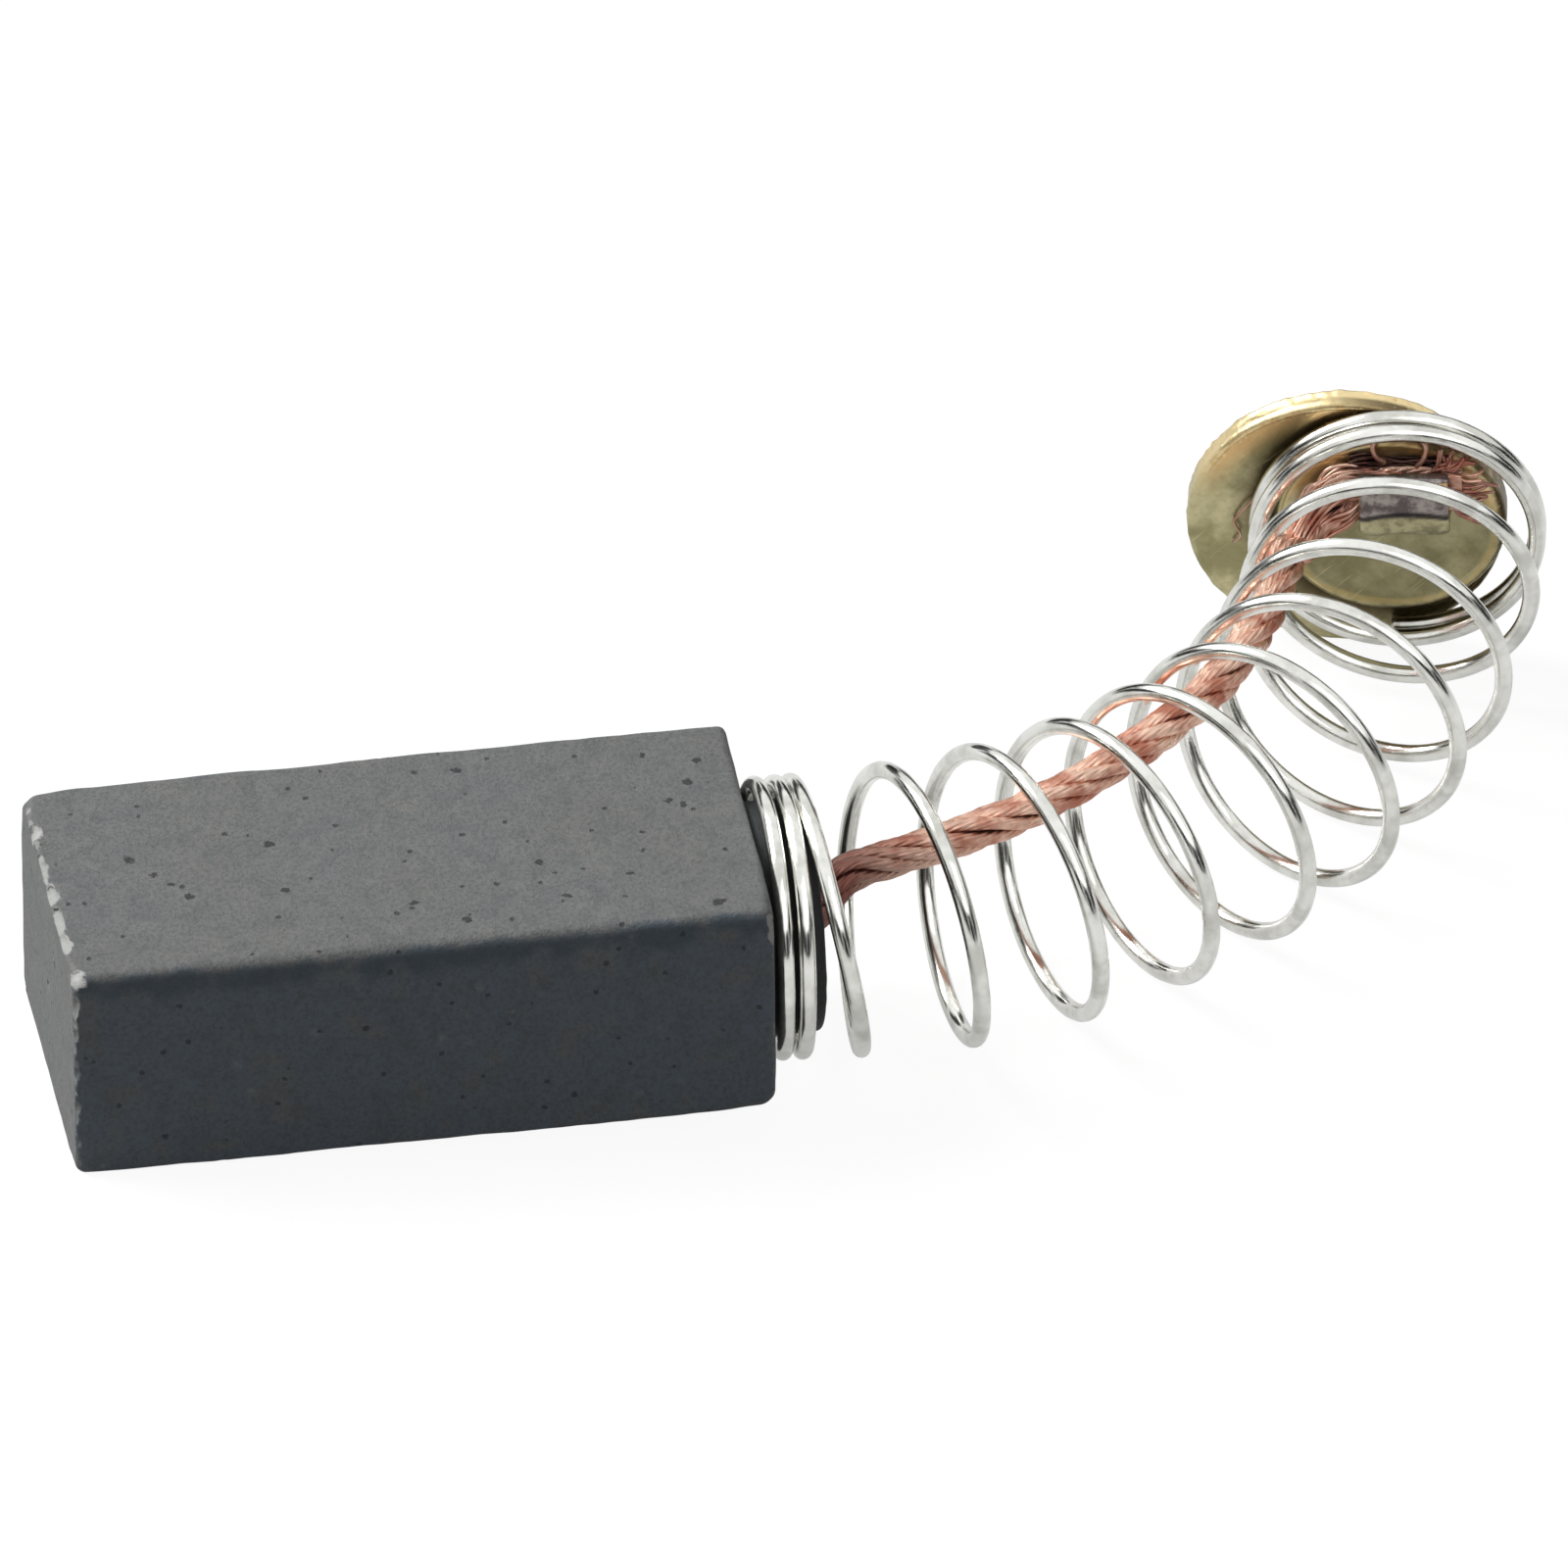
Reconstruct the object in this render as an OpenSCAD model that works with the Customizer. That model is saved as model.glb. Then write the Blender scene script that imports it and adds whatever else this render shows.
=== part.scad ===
// Carbon brush with a coil spring, a copper lead and a brass cap, lying on a bench.
// Millimetres. The bench is z = 0, the brush points along +X and the spring bends towards +Y.
// The origin is at the middle of the brush's outline, on the bench.

/* [Carbon block] */
// Length of the block, from the wearing end to the shoulder
block_l = 14.85; // [10:0.05:24]
// Width of the block
block_w = 7; // [6.6:0.1:12]
// Height of the block
block_h = 5; // [4.8:0.1:6]
// Radius of the tumbled edges of the block
block_edge_r = 0.2; // [0.05:0.05:0.6]
// Diameter of the round boss that the spring grips
boss_d = 5; // [4.2:0.1:5]
// Length of the boss behind the shoulder
boss_l = 1.5; // [1:0.1:2.4]
// Radius of the edge of the boss
boss_edge_r = 0.15; // [0.05:0.05:0.4]
// Diameter of the hole for the lead
lead_hole_d = 1.8; // [1.4:0.1:2.6]
// Depth of that hole, from the end of the boss
lead_hole_depth = 4.5; // [3:0.5:7]
// Angle of the drill point at the bottom of the hole
drill_point = 118; // [90:2:140]

/* [Tamped contact] */
// How far the packed powder stays below the end of the boss
tamping_recess = 0.25; // [0.1:0.05:0.8]
// Powder left below the end of the lead
tamping_below = 0.5; // [0.3:0.1:1]

/* [Spring] */
// Diameter of the spring wire
wire_d = 0.38; // [0.3:0.02:0.42]
// Outer diameter of the open turns
coil_od = 6.4; // [6.3:0.1:7]
// Outer diameter of the tight turns that grip the boss
grip_od = 6.1; // [6:0.05:6.3]
// Number of tight turns on the boss
grip_turns = 2.4; // [1.5:0.1:3]
// Number of open turns
open_turns = 8.8; // [6:0.1:12]
// Number of tight turns at the cap
seat_turns = 1.6; // [1:0.05:4]
// Rise of one open turn along the spring's axis
open_pitch = 2.33; // [1.6:0.01:3]
// Rise of one tight turn on the boss
grip_pitch = 0.44; // [0.43:0.01:0.6]
// Rise of one tight turn at the cap
seat_pitch = 0.5; // [0.43:0.01:0.8]
// Where the wire starts, counted from the +Y side of the boss
start_angle = -18; // [-180:1:180]
// How far the spring has bent round, from the block to the cap
bend_angle = 80; // [40:1:90]
// Straight stretch of the spring's axis at the block
straight_block = 1.4; // [1:0.1:3]
// Straight stretch of the spring's axis at the cap
straight_cap = 0.9; // [0.5:0.1:3]

/* [Brass cap] */
// Diameter of the round flange
flange_d = 6.8; // [6.4:0.1:7]
// Thickness of the brass sheet
sheet_t = 0.45; // [0.3:0.05:0.5]
// How far the flange's centre is from the spring's axis, towards the inside of the bend
flange_shift = 1.1; // [0:0.1:1.3]
// How far the flange's centre is below the spring's axis
flange_drop = 0.28; // [0.2:0.02:0.5]
// How far the cap leans back from upright
cap_lean = 8; // [0:1:10]
// Diameter of the raised seat inside the spring
seat_d = 5; // [4.6:0.1:5]
// Height of the seat above the flange
seat_h = 0.5; // [0.46:0.02:0.8]
// How far the seat is from the spring's axis, towards the inside of the bend and upwards
seat_shift = 0.15; // [0:0.05:0.15]
// Radius of the drawn edge of the seat
seat_edge_r = 0.2; // [0.05:0.05:0.3]
// Radius of the rolled edge of the flange
flange_edge_r = 0.12; // [0.05:0.01:0.14]
// Width of the tongue that holds the lead
tongue_w = 1.9; // [1.4:0.1:2]
// Thickness of the tongue, thinned as it is pressed out
tongue_t = 0.3; // [0.2:0.05:0.35]
// How far the tongue reaches past the lead
tongue_past = 0.08; // [0:0.02:0.12]
// How far the middle of the tongue is from the spring's axis, towards the outside of the bend
tongue_x = 0.1; // [-0.1:0.05:0.2]
// How far the middle of the tongue is above the spring's axis
tongue_y = 1.45; // [1.2:0.05:1.5]
// Turn of the tongue in the plane of the seat
tongue_turn = 4; // [0:1:10]

/* [Copper lead] */
// Diameter of one strand of the rope
strand_d = 0.28; // [0.24:0.02:0.32]
// Length of rope in which a strand goes once round
lay_length = 6; // [4:0.5:12]
// Width of the lead where it is pressed flat under the tongue
pressed_w = 1.15; // [1:0.05:1.2]
// Thickness of the lead where it is pressed flat
pressed_t = 0.45; // [0.35:0.05:0.5]
// Width of the lead where it spreads before the tongue
spread_w = 1.6; // [1.2:0.1:1.7]
// Length of the pressed end past the middle of the tongue
end_l = 1.5; // [1.2:0.1:1.6]

/* [Fit] */
// Gap between the lead and what it passes through or under
lead_gap = 0.03; // [0.02:0.01:0.05]
// Gap between an end of the spring and its seat
spring_gap = 0.02; // [0.01:0.01:0.05]

/* [Hidden] */
$fn = 64;
overlap = 0.01;

// ---- small tools ----
function unit(v) = v / norm(v);
function smooth(x) = let (t = min(1, max(0, x))) t * t * (3 - 2 * t);

// ---- how the brush lies: front edge of the block and the open turns touch the bench ----
coil_r = (coil_od - wire_d) / 2;
grip_r = (grip_od - wire_d) / 2;
axis_z = coil_od / 2;
// the flange stands on the bench on its rim, with the spring's axis a little above its centre
rim_centre = flange_d / 2 - flange_edge_r;
cap_axis_z = (flange_drop + rim_centre) * cos(cap_lean)
             - flange_edge_r * sin(cap_lean) + flange_edge_r;
low_edge = [block_l - block_edge_r, block_h / 2 - block_edge_r];
block_lift = asin((axis_z - block_edge_r) / norm(low_edge)) - atan2(low_edge[1], low_edge[0]);
along_block = [cos(block_lift), 0, sin(block_lift)];

// ---- axis of the spring: straight, bent to an arc, straight ----
turns = grip_turns + open_turns + seat_turns;
rings_per_turn = 24;
rings = round(turns * rings_per_turn);
turn_step = turns / rings;
pitch_blend = 0.5;
function open_share(t) =
    smooth((t - grip_turns + pitch_blend) / (2 * pitch_blend))
    * (1 - smooth((t - grip_turns - open_turns + pitch_blend) / (2 * pitch_blend)));
function tight_pitch(t) = t < turns / 2 ? grip_pitch : seat_pitch;
function pitch_at(t) = tight_pitch(t) + (open_pitch - tight_pitch(t)) * open_share(t);
first_s = wire_d / 2 + spring_gap;
// distance along the axis at each ring of the wire
ring_s = [for (i = 0, s = first_s; i <= rings;
               s = s + pitch_at((i + 0.5) * turn_step) * turn_step, i = i + 1) s];
axis_l = ring_s[rings] + wire_d / 2 + spring_gap;
bend_r = (axis_l - straight_block - straight_cap) / (bend_angle * PI / 180);

function bend_at(s) = min(bend_angle, max(0, (s - straight_block) / bend_r * 180 / PI));
function axis_at(s) =
    let (b = bend_at(s), before = min(s, straight_block), after = max(0, s - axis_l + straight_cap))
    [before + bend_r * sin(b) + after * cos(b),
     bend_r * (1 - cos(b)) + after * sin(b),
     axis_z + (cap_axis_z - axis_z) * pow(s / axis_l, 3)];
// the turns start square to the block and end square to the leaning cap
lean_run = 6;
level_run = 4;
function lean_at(s) =
    block_lift * (1 - smooth(s / level_run)) + cap_lean * smooth((s - axis_l + lean_run) / lean_run);
function inward(s) = [-sin(bend_at(s)), cos(bend_at(s)), 0];
function along(s) =
    let (b = bend_at(s), l = lean_at(s)) [cos(b) * cos(l), sin(b) * cos(l), sin(l)];
function upward(s) = cross(along(s), inward(s));

// ---- the cap's own frame: x away from the inside of the bend, y up, z towards the spring ----
cap_seat = axis_at(axis_l);
cap_x = [sin(bend_angle), -cos(bend_angle), 0];
cap_z = -[cos(bend_angle) * cos(cap_lean), sin(bend_angle) * cos(cap_lean), sin(cap_lean)];
cap_y = cross(cap_z, cap_x);
function from_cap(p) = cap_seat + p[0] * cap_x + p[1] * cap_y + p[2] * cap_z;
flange_mid = from_cap([-flange_shift, -flange_drop, -sheet_t]);

// ---- skin through a list of rings, each with the same number of points ----
function tangent(path, i) =
    unit(path[min(i + 1, len(path) - 1)] - path[max(i - 1, 0)]);
// the middles of the first and last ring close the two ends
module skin(skin_rings, middles) {
    last = len(skin_rings) - 1;
    sides = len(skin_rings[0]);
    points = concat([for (ring = skin_rings, p = ring) p], middles);
    first_middle = (last + 1) * sides;
    walls = [for (i = [0 : last - 1], k = [0 : sides - 1])
        let (a = i * sides + k, b = i * sides + (k + 1) % sides)
        each [[a, a + sides, b + sides], [a, b + sides, b]]];
    near = [for (k = [0 : sides - 1]) [first_middle, k, (k + 1) % sides]];
    far = [for (k = [0 : sides - 1])
        [first_middle + 1, last * sides + (k + 1) % sides, last * sides + k]];
    polyhedron(points, concat(walls, near, far));
}

// ---- wire of the spring ----
// the open turns are wider than the ones that grip the boss
widen_turns = 2;
function radius_at(t) =
    grip_r + (coil_r - grip_r) * smooth((t - grip_turns + pitch_blend) / widen_turns);
function ray(i) =
    let (s = ring_s[i], a = start_angle + 360 * i * turn_step)
    cos(a) * inward(s) + sin(a) * upward(s);
function wire_path() =
    [for (i = [0 : rings]) axis_at(ring_s[i]) + radius_at(i * turn_step) * ray(i)];
wire_sides = 8;
function wire_ring(i) =
    let (t = tangent(wire_points, i), n = unit(ray(i) - (ray(i) * t) * t), b = cross(t, n))
    [for (k = [0 : wire_sides - 1])
        wire_points[i] + wire_d / 2 * (cos(360 * k / wire_sides) * n + sin(360 * k / wire_sides) * b)];

// ---- middle of the outline, which the origin is set to ----
function reach(k) = flange_d / 2 * sqrt(1 - cap_z[k] * cap_z[k]);
block_front = low_edge[0] * cos(block_lift) + low_edge[1] * sin(block_lift) + block_edge_r;
wire_points = wire_path();
wire_right = max([for (p = wire_points) p[0]]) + wire_d / 2;
wire_front = min([for (p = wire_points) p[1]]) - wire_d / 2;
right_x = max(wire_right, flange_mid[0] + reach(0));
front_y = min(wire_front, -block_w / 2);
back_y = flange_mid[1] + reach(1);
middle = [(right_x - block_front) / 2, (back_y + front_y) / 2, 0];

// ---- route of the lead, inside the spring ----
// each row: share of the free length, offset to the inside of the bend, height above the axis
lead_route = [
    [0.015, 0.28, 0.17],
    [0.05, 0.80, 0.50],
    [0.11, 1.10, 0.50],
    [0.20, 1.45, 0.50],
    [0.31, 1.75, 0.50],
    [0.42, 1.95, 0.55],
    [0.54, 2.05, 0.65],
    [0.68, 2.10, 0.70],
    [0.81, 2.22, 0.68],
    [0.91, 2.27, 0.60],
    [1.00, 2.28, 0.52],
];
// the free length ends where the lead starts its turn on the seat
turn_run = 2.6;
function route_s(share) = boss_l + 0.05 + share * (axis_l - turn_run - boss_l);
outer_strands = 6;
rope_d = 3 * strand_d;
lead_depth = lead_hole_depth - tamping_below;
pressed_z = seat_h + lead_gap + pressed_t / 2;
// each row: place along the tongue's tunnel, across it, above the seat's plane, width, thickness
lead_tail = [
    [-2.30, -0.82, pressed_z + 0.95, rope_d * 1.15, rope_d * 0.95],
    [-2.02, -0.60, pressed_z + 0.40, (rope_d + spread_w) / 2, rope_d * 0.85],
    [-tongue_w / 2 - 0.62, -0.28, pressed_z + 0.13, spread_w, pressed_t * 1.3],
    [-tongue_w / 2 - 0.12, -0.01, pressed_z, pressed_w, pressed_t],
    [0.00, 0.00, pressed_z, pressed_w, pressed_t],
    [tongue_w / 2, 0.00, pressed_z, pressed_w, pressed_t],
    [end_l, 0.00, pressed_z, pressed_w * 1.05, pressed_t * 0.85],
];
tail_dir = cos(tongue_turn) * cap_x + sin(tongue_turn) * cap_y;
tail_up = cross(cap_z, tail_dir);
tail_mid = from_cap([tongue_x, tongue_y, 0]);
lead_knots = concat(
    [for (x = [boss_l - lead_depth, boss_l - lead_depth / 2, boss_l - tamping_recess, boss_l])
        concat([0, 0, axis_z] + x * along_block, [rope_d, rope_d])],
    [for (k = lead_route) let (s = route_s(k[0]))
        concat(axis_at(s) + k[1] * inward(s) + [0, 0, k[2]], [rope_d, rope_d])],
    [for (k = lead_tail)
        concat(tail_mid + k[0] * tail_dir + k[1] * tail_up + k[2] * cap_z, [k[3], k[4]])]);
// a smooth curve through the knots
steps_per_knot = 4;
function curve(a, b, c, d, t) =
    0.5 * (2 * b + (c - a) * t + (2 * a - 5 * b + 4 * c - d) * t * t
           + (3 * b - a - 3 * c + d) * t * t * t);
function through(knots) =
    let (n = len(knots) - 1)
    concat([for (i = [0 : n - 1], j = [0 : steps_per_knot - 1])
        curve(knots[max(i - 1, 0)], knots[i], knots[i + 1], knots[min(i + 2, n)],
              j / steps_per_knot)],
        [knots[n]]);
lead_rows = through(lead_knots);
lead_path = [for (r = lead_rows) [r[0], r[1], r[2]]];
lead_steps = len(lead_path) - 1;
// length of rope up to each point, which the lay of the strands follows
lead_run = [for (i = 0, s = 0; i <= lead_steps;
                 s = s + (i < lead_steps ? norm(lead_path[i + 1] - lead_path[i]) : 0),
                 i = i + 1) s];
// outline of the rope: the outer strands touch each other round a middle one
points_per_strand = 4;
lead_sides = outer_strands * points_per_strand;
function lobe(k) =
    let (a = 360 / outer_strands * ((k % points_per_strand) / points_per_strand - 0.5))
    strand_d * (cos(a) + sqrt(max(0, 0.25 - sin(a) * sin(a))));
function lead_ring(i) =
    let (t = tangent(lead_path, i), w = unit(tail_up - (tail_up * t) * t), n = cross(t, w),
         wide = lead_rows[i][3] / rope_d, thick = lead_rows[i][4] / rope_d,
         lay = 360 * lead_run[i] / lay_length)
    [for (k = [0 : lead_sides - 1])
        let (a = lay + 360 * k / lead_sides, r = lobe(k))
        lead_path[i] + r * (wide * cos(a) * w + thick * sin(a) * n)];

// ---- modules for each piece ----
module at_block() {
    translate([0, 0, axis_z]) rotate([0, -block_lift, 0]) children();
}
module at_cap() {
    translate(cap_seat) rotate([90 + cap_lean, 0, bend_angle - 90]) children();
}
module centred() {
    translate(-middle) children();
}

// rectangle with round corners
module rounded(w, h, r) {
    square([w - 2 * r, h], center = true);
    square([w, h - 2 * r], center = true);
    for (x = [-1, 1], y = [-1, 1])
        translate([x * (w / 2 - r), y * (h / 2 - r)]) circle(r);
}
// bar with every long edge rounded
module rounded_block(l, w, h, r) {
    intersection() {
        rotate([90, 0, 90]) linear_extrude(l, center = true) rounded(w, h, r);
        rotate([90, 0, 0]) linear_extrude(w, center = true) rounded(l, h, r);
        linear_extrude(h, center = true) rounded(l, w, r);
    }
}
// round disc whose top edge is rounded
module round_top(d, h, r) {
    rotate_extrude() {
        square([d / 2 - r, h]);
        square([d / 2, h - r]);
        intersection() {
            translate([d / 2 - r, h - r]) circle(r);
            square([d / 2, h]);
        }
    }
}

module carbon_block() {
    tip_l = lead_hole_d / 2 / tan(drill_point / 2);
    color([0.27, 0.28, 0.29]) centred() at_block() difference() {
        union() {
            translate([-block_l / 2, 0, 0])
                rounded_block(block_l, block_w, block_h, block_edge_r);
            rotate([0, 90, 0]) translate([0, 0, -block_edge_r])
                round_top(boss_d, boss_l + block_edge_r, boss_edge_r);
        }
        translate([boss_l, 0, 0]) rotate([0, -90, 0]) {
            translate([0, 0, -overlap]) cylinder(d = lead_hole_d, h = lead_hole_depth + overlap);
            translate([0, 0, lead_hole_depth]) cylinder(d1 = lead_hole_d, d2 = 0, h = tip_l);
        }
    }
}

module tamping_plug() {
    color([0.45, 0.25, 0.18]) centred() at_block()
        translate([boss_l - lead_hole_depth, 0, 0]) rotate([0, 90, 0]) difference() {
            cylinder(d = lead_hole_d, h = lead_hole_depth - tamping_recess);
            translate([0, 0, tamping_below - lead_gap])
                cylinder(d = rope_d + 2 * lead_gap, h = lead_hole_depth);
        }
}

module spring() {
    color([0.82, 0.82, 0.84]) centred()
        skin([for (i = [0 : rings]) wire_ring(i)], [wire_points[0], wire_points[rings]]);
}

module copper_lead() {
    color([0.72, 0.43, 0.33]) centred()
        skin([for (i = [0 : lead_steps]) lead_ring(i)], [lead_path[0], lead_path[lead_steps]]);
}

// side view of the tongue: up from the seat, round a bend, and flat over the lead
tongue_bend_r = 0.1;
tongue_side_gap = 0.05;
tongue_in = seat_h + pressed_t + 2 * lead_gap;
tongue_bend = [-pressed_w / 2 - tongue_side_gap + tongue_bend_r, tongue_in - tongue_bend_r];
tongue_end = pressed_w / 2 + tongue_past;
function bend_arc(r, from, to) =
    [for (k = [0 : 6]) tongue_bend + r * [cos(from + (to - from) * k / 6), sin(from + (to - from) * k / 6)]];
module tongue() {
    root = tongue_bend[0] - tongue_bend_r;
    rotate([90, 0, 90]) linear_extrude(tongue_w, center = true) polygon(concat(
        [[root - tongue_t, seat_h - sheet_t / 2]],
        bend_arc(tongue_bend_r + tongue_t, 180, 90),
        [[tongue_end, tongue_in + tongue_t], [tongue_end, tongue_in]],
        bend_arc(tongue_bend_r, 90, 180),
        [[root, seat_h - sheet_t / 2]]));
}
// opening that the tongue was pressed out of
window_side = 0.1;
window_top = 0.07;
module window() {
    low = tongue_bend[0] - tongue_bend_r;
    high = tongue_end + window_top;
    translate([-tongue_w / 2 - window_side, low, seat_h - sheet_t - overlap])
        cube([tongue_w + 2 * window_side, high - low, sheet_t + 2 * overlap]);
}

module brass_cap() {
    inner_d = seat_d - 2 * sheet_t;
    color([0.71, 0.62, 0.38]) centred() at_cap() {
        difference() {
            union() {
                translate([-flange_shift, -flange_drop, -sheet_t])
                    round_top(flange_d, sheet_t, flange_edge_r);
                translate([-seat_shift, seat_shift, -sheet_t / 2])
                    round_top(seat_d, seat_h + sheet_t / 2, seat_edge_r);
            }
            // the seat is drawn from the back, so the sheet keeps its thickness
            translate([-seat_shift, seat_shift, -sheet_t - overlap])
                cylinder(d = inner_d, h = seat_h + overlap);
            translate([tongue_x, tongue_y, 0]) rotate(tongue_turn) window();
        }
        translate([tongue_x, tongue_y, 0]) rotate(tongue_turn) tongue();
    }
}

carbon_block();
tamping_plug();
spring();
copper_lead();
brass_cap();
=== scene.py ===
import math

import bpy
import numpy as np
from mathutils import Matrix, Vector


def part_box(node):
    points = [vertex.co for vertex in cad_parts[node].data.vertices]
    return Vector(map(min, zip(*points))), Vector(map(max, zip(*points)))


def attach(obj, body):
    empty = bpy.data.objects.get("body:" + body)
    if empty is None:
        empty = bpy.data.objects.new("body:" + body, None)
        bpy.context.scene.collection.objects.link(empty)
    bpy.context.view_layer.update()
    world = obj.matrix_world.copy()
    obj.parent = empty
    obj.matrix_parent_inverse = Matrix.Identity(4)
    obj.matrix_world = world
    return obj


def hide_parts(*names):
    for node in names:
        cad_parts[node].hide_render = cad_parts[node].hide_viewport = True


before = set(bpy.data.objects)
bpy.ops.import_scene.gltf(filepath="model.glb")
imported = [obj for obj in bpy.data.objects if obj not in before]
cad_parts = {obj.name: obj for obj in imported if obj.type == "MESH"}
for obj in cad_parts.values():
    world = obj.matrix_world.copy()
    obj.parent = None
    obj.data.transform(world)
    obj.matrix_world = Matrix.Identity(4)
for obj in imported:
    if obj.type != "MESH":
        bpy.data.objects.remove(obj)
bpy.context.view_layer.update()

# ---- Carbon block ----
# A bar of pressed and baked carbon-graphite with a round boss turned on one end and a hole drilled for
# the lead. It is brittle, so its wearing end has lost small shell-shaped chips. It lies on that end's
# lower edge, lifted 2.7 degrees at the boss, where the spring is thicker than the bar is high.
block_l, block_w, block_h = 14.85, 7.0, 5.0
edge_r = 0.2
boss_d, boss_l, boss_edge_r = 5.0, 1.25, 0.1
hole_d, hole_depth = 1.8, 4.25
coil_od = 6.4
axis_z = coil_od / 2

low_edge = np.array([block_l - edge_r, block_h / 2 - edge_r])
lift = math.asin((axis_z - edge_r) / np.hypot(*low_edge)) - math.atan2(low_edge[1], low_edge[0])
along_block = np.array([math.cos(lift), 0, math.sin(lift)])
up_block = np.array([-math.sin(lift), 0, math.cos(lift)])

# Sizes are in millimetres on a bench whose zero is under the block's shoulder. The frame's zero is
# the middle of the outline, so the bench is placed by the block's own box.
block_low, block_high = (np.array(corner) * 1000 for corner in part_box("carbon_block"))
block_reach = low_edge @ [math.cos(lift), math.sin(lift)] + edge_r
bench = np.array([block_low[0] + block_reach, (block_low[1] + block_high[1]) / 2, 0])


def smooth(x):
    """Rises from 0 to 1 with level ends: 3x^2 - 2x^3, clipped."""
    x = np.clip(x, 0, 1)
    return x * x * (3 - 2 * x)


def grain(points, size, seed=0):
    """Value noise from -1 to 1: random values on a lattice of that size, blended with the smooth
    step along each axis. The random value of a lattice point is a mix of its whole-number place."""
    q = np.asarray(points, float) / size
    cell = np.floor(q).astype(np.int64)
    f = smooth(q - cell)
    total = 0
    for corner in np.ndindex(2, 2, 2):
        c = cell + corner
        n = (c[..., 0] * 73856093) ^ (c[..., 1] * 19349663) ^ (c[..., 2] * 83492791) ^ (seed * 2654435)
        n = ((n ^ (n >> 13)) * 1274126177) & 0xFFFFFFFF
        n = (n ^ (n >> 16)) & 0xFFFF
        share = np.prod(np.where(corner, f, 1 - f), axis=-1)
        total += share * n
    return total / 32767.5 - 1


def rows_of(*columns):
    """Rows, such as points or faces, from their columns: each an array, or one number for all."""
    return np.stack(np.broadcast_arrays(*columns), -1)


def walls(rows, sides):
    """Quads between neighbouring rings of a closed tube, numbered ring by ring."""
    i, k = np.meshgrid(np.arange(rows - 1), np.arange(sides), indexing="ij")
    a, b = i * sides + k, i * sides + (k + 1) % sides
    return rows_of(a, a + sides, b + sides, b).reshape(-1, 4).tolist()


def closed_skin(rings, first_middle, last_middle):
    """Points and faces of a tube whose two ends are closed by fans round a middle point."""
    rows, sides = rings.shape[:2]
    points = np.concatenate([rings.reshape(-1, 3), [first_middle, last_middle]])
    k = np.arange(sides)
    first = rows_of(rows * sides, k, (k + 1) % sides)
    last = (rows - 1) * sides + rows_of(sides + 1, (k + 1) % sides, k)
    return points, walls(rows, sides) + first.tolist() + last.tolist()


def placed(name, data):
    """An object that holds a mesh, a lamp or a camera, put in the scene."""
    made = bpy.data.objects.new(name, data)
    bpy.context.scene.collection.objects.link(made)
    return made


def new_piece(name, points, faces, material, slot, **attributes):
    """A smooth mesh from points in bench millimetres, with one value or vector for each point
    under each attribute's name, riding on the root body."""
    mesh = bpy.data.meshes.new(name)
    mesh.from_pydata(((np.asarray(points) + bench) / 1000).tolist(), [], faces)
    for key, values in attributes.items():
        values = np.asarray(values, np.float32)
        vector = values.ndim == 2
        made = mesh.attributes.new(key, "FLOAT_VECTOR" if vector else "FLOAT", "POINT")
        made.data.foreach_set("vector" if vector else "value", values.ravel())
    mesh.polygons.foreach_set("use_smooth", [True] * len(mesh.polygons))
    mesh.update()
    mesh.materials.append(material)
    piece = placed(name, mesh)
    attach(piece, "root")
    return piece


def linear(hex_colour):
    """sRGB hex colour to the linear values that a shader takes."""
    c = np.array([int(hex_colour[i:i + 2], 16) for i in (1, 3, 5)]) / 255
    return (*np.where(c <= 0.04045, c / 12.92, ((c + 0.055) / 1.055) ** 2.4), 1.0)


def add(tree, kind, settings=(), give=0, **inputs):
    """Adds a node to a tree and gives one of its outputs. Settings are the node's own fields. An
    input is a value or another node's output, under the socket's name with _ for a space, or i0,
    i1, ... for its number: MapRange carries i1 to i2 over to i3 to i4, or to 0 to 1, and Mix goes
    from colour i6 to colour i7 by the share i0."""
    made = tree.nodes.new("ShaderNode" + kind)
    for key, value in dict(settings).items():
        setattr(made, key, value)
    for key, value in inputs.items():
        socket = made.inputs[int(key[1:]) if key[1:].isdigit() else key.replace("_", " ")]
        if isinstance(value, bpy.types.NodeSocket):
            tree.links.new(value, socket)
        else:
            socket.default_value = value
    return made.outputs[give] if len(made.outputs) else None


def new_material(name):
    """A material with an empty tree. Returns it with its tree and its object coordinates."""
    material = bpy.data.materials.new(name)
    material.use_nodes = True
    tree = material.node_tree
    tree.nodes.clear()
    return material, tree, add(tree, "TexCoord", give="Object")


def stations(length, step, fine=(0, 0.03, 0.07, 0.12, 0.17, 0.24)):
    """Places along an edge: close together near both ends, where it rounds, and even between."""
    fine = np.array(fine)
    count = round((length - 2 * fine[-1]) / step)
    even = np.linspace(fine[-1], length - fine[-1], count + 1)
    return np.concatenate([fine[:-1], even, length - fine[-2::-1]])


# outline of the bar's sharp section, anticlockwise seen from the boss
block_step = 0.08
across, upright = stations(block_w, block_step) - block_w / 2, stations(block_h, block_step) - block_h / 2
y_half, z_half = block_w / 2, block_h / 2
outline = np.concatenate([rows_of(across[:-1], -z_half), rows_of(y_half, upright[:-1]),
                          rows_of(across[:0:-1], z_half), rows_of(-y_half, upright[:0:-1])])
turn = np.arctan2(outline[:, 1], outline[:, 0])
circle = rows_of(np.cos(turn), np.sin(turn))


def ring(x, section):
    """A ring of points at one place along the block."""
    return rows_of(x, *section.T)


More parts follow.
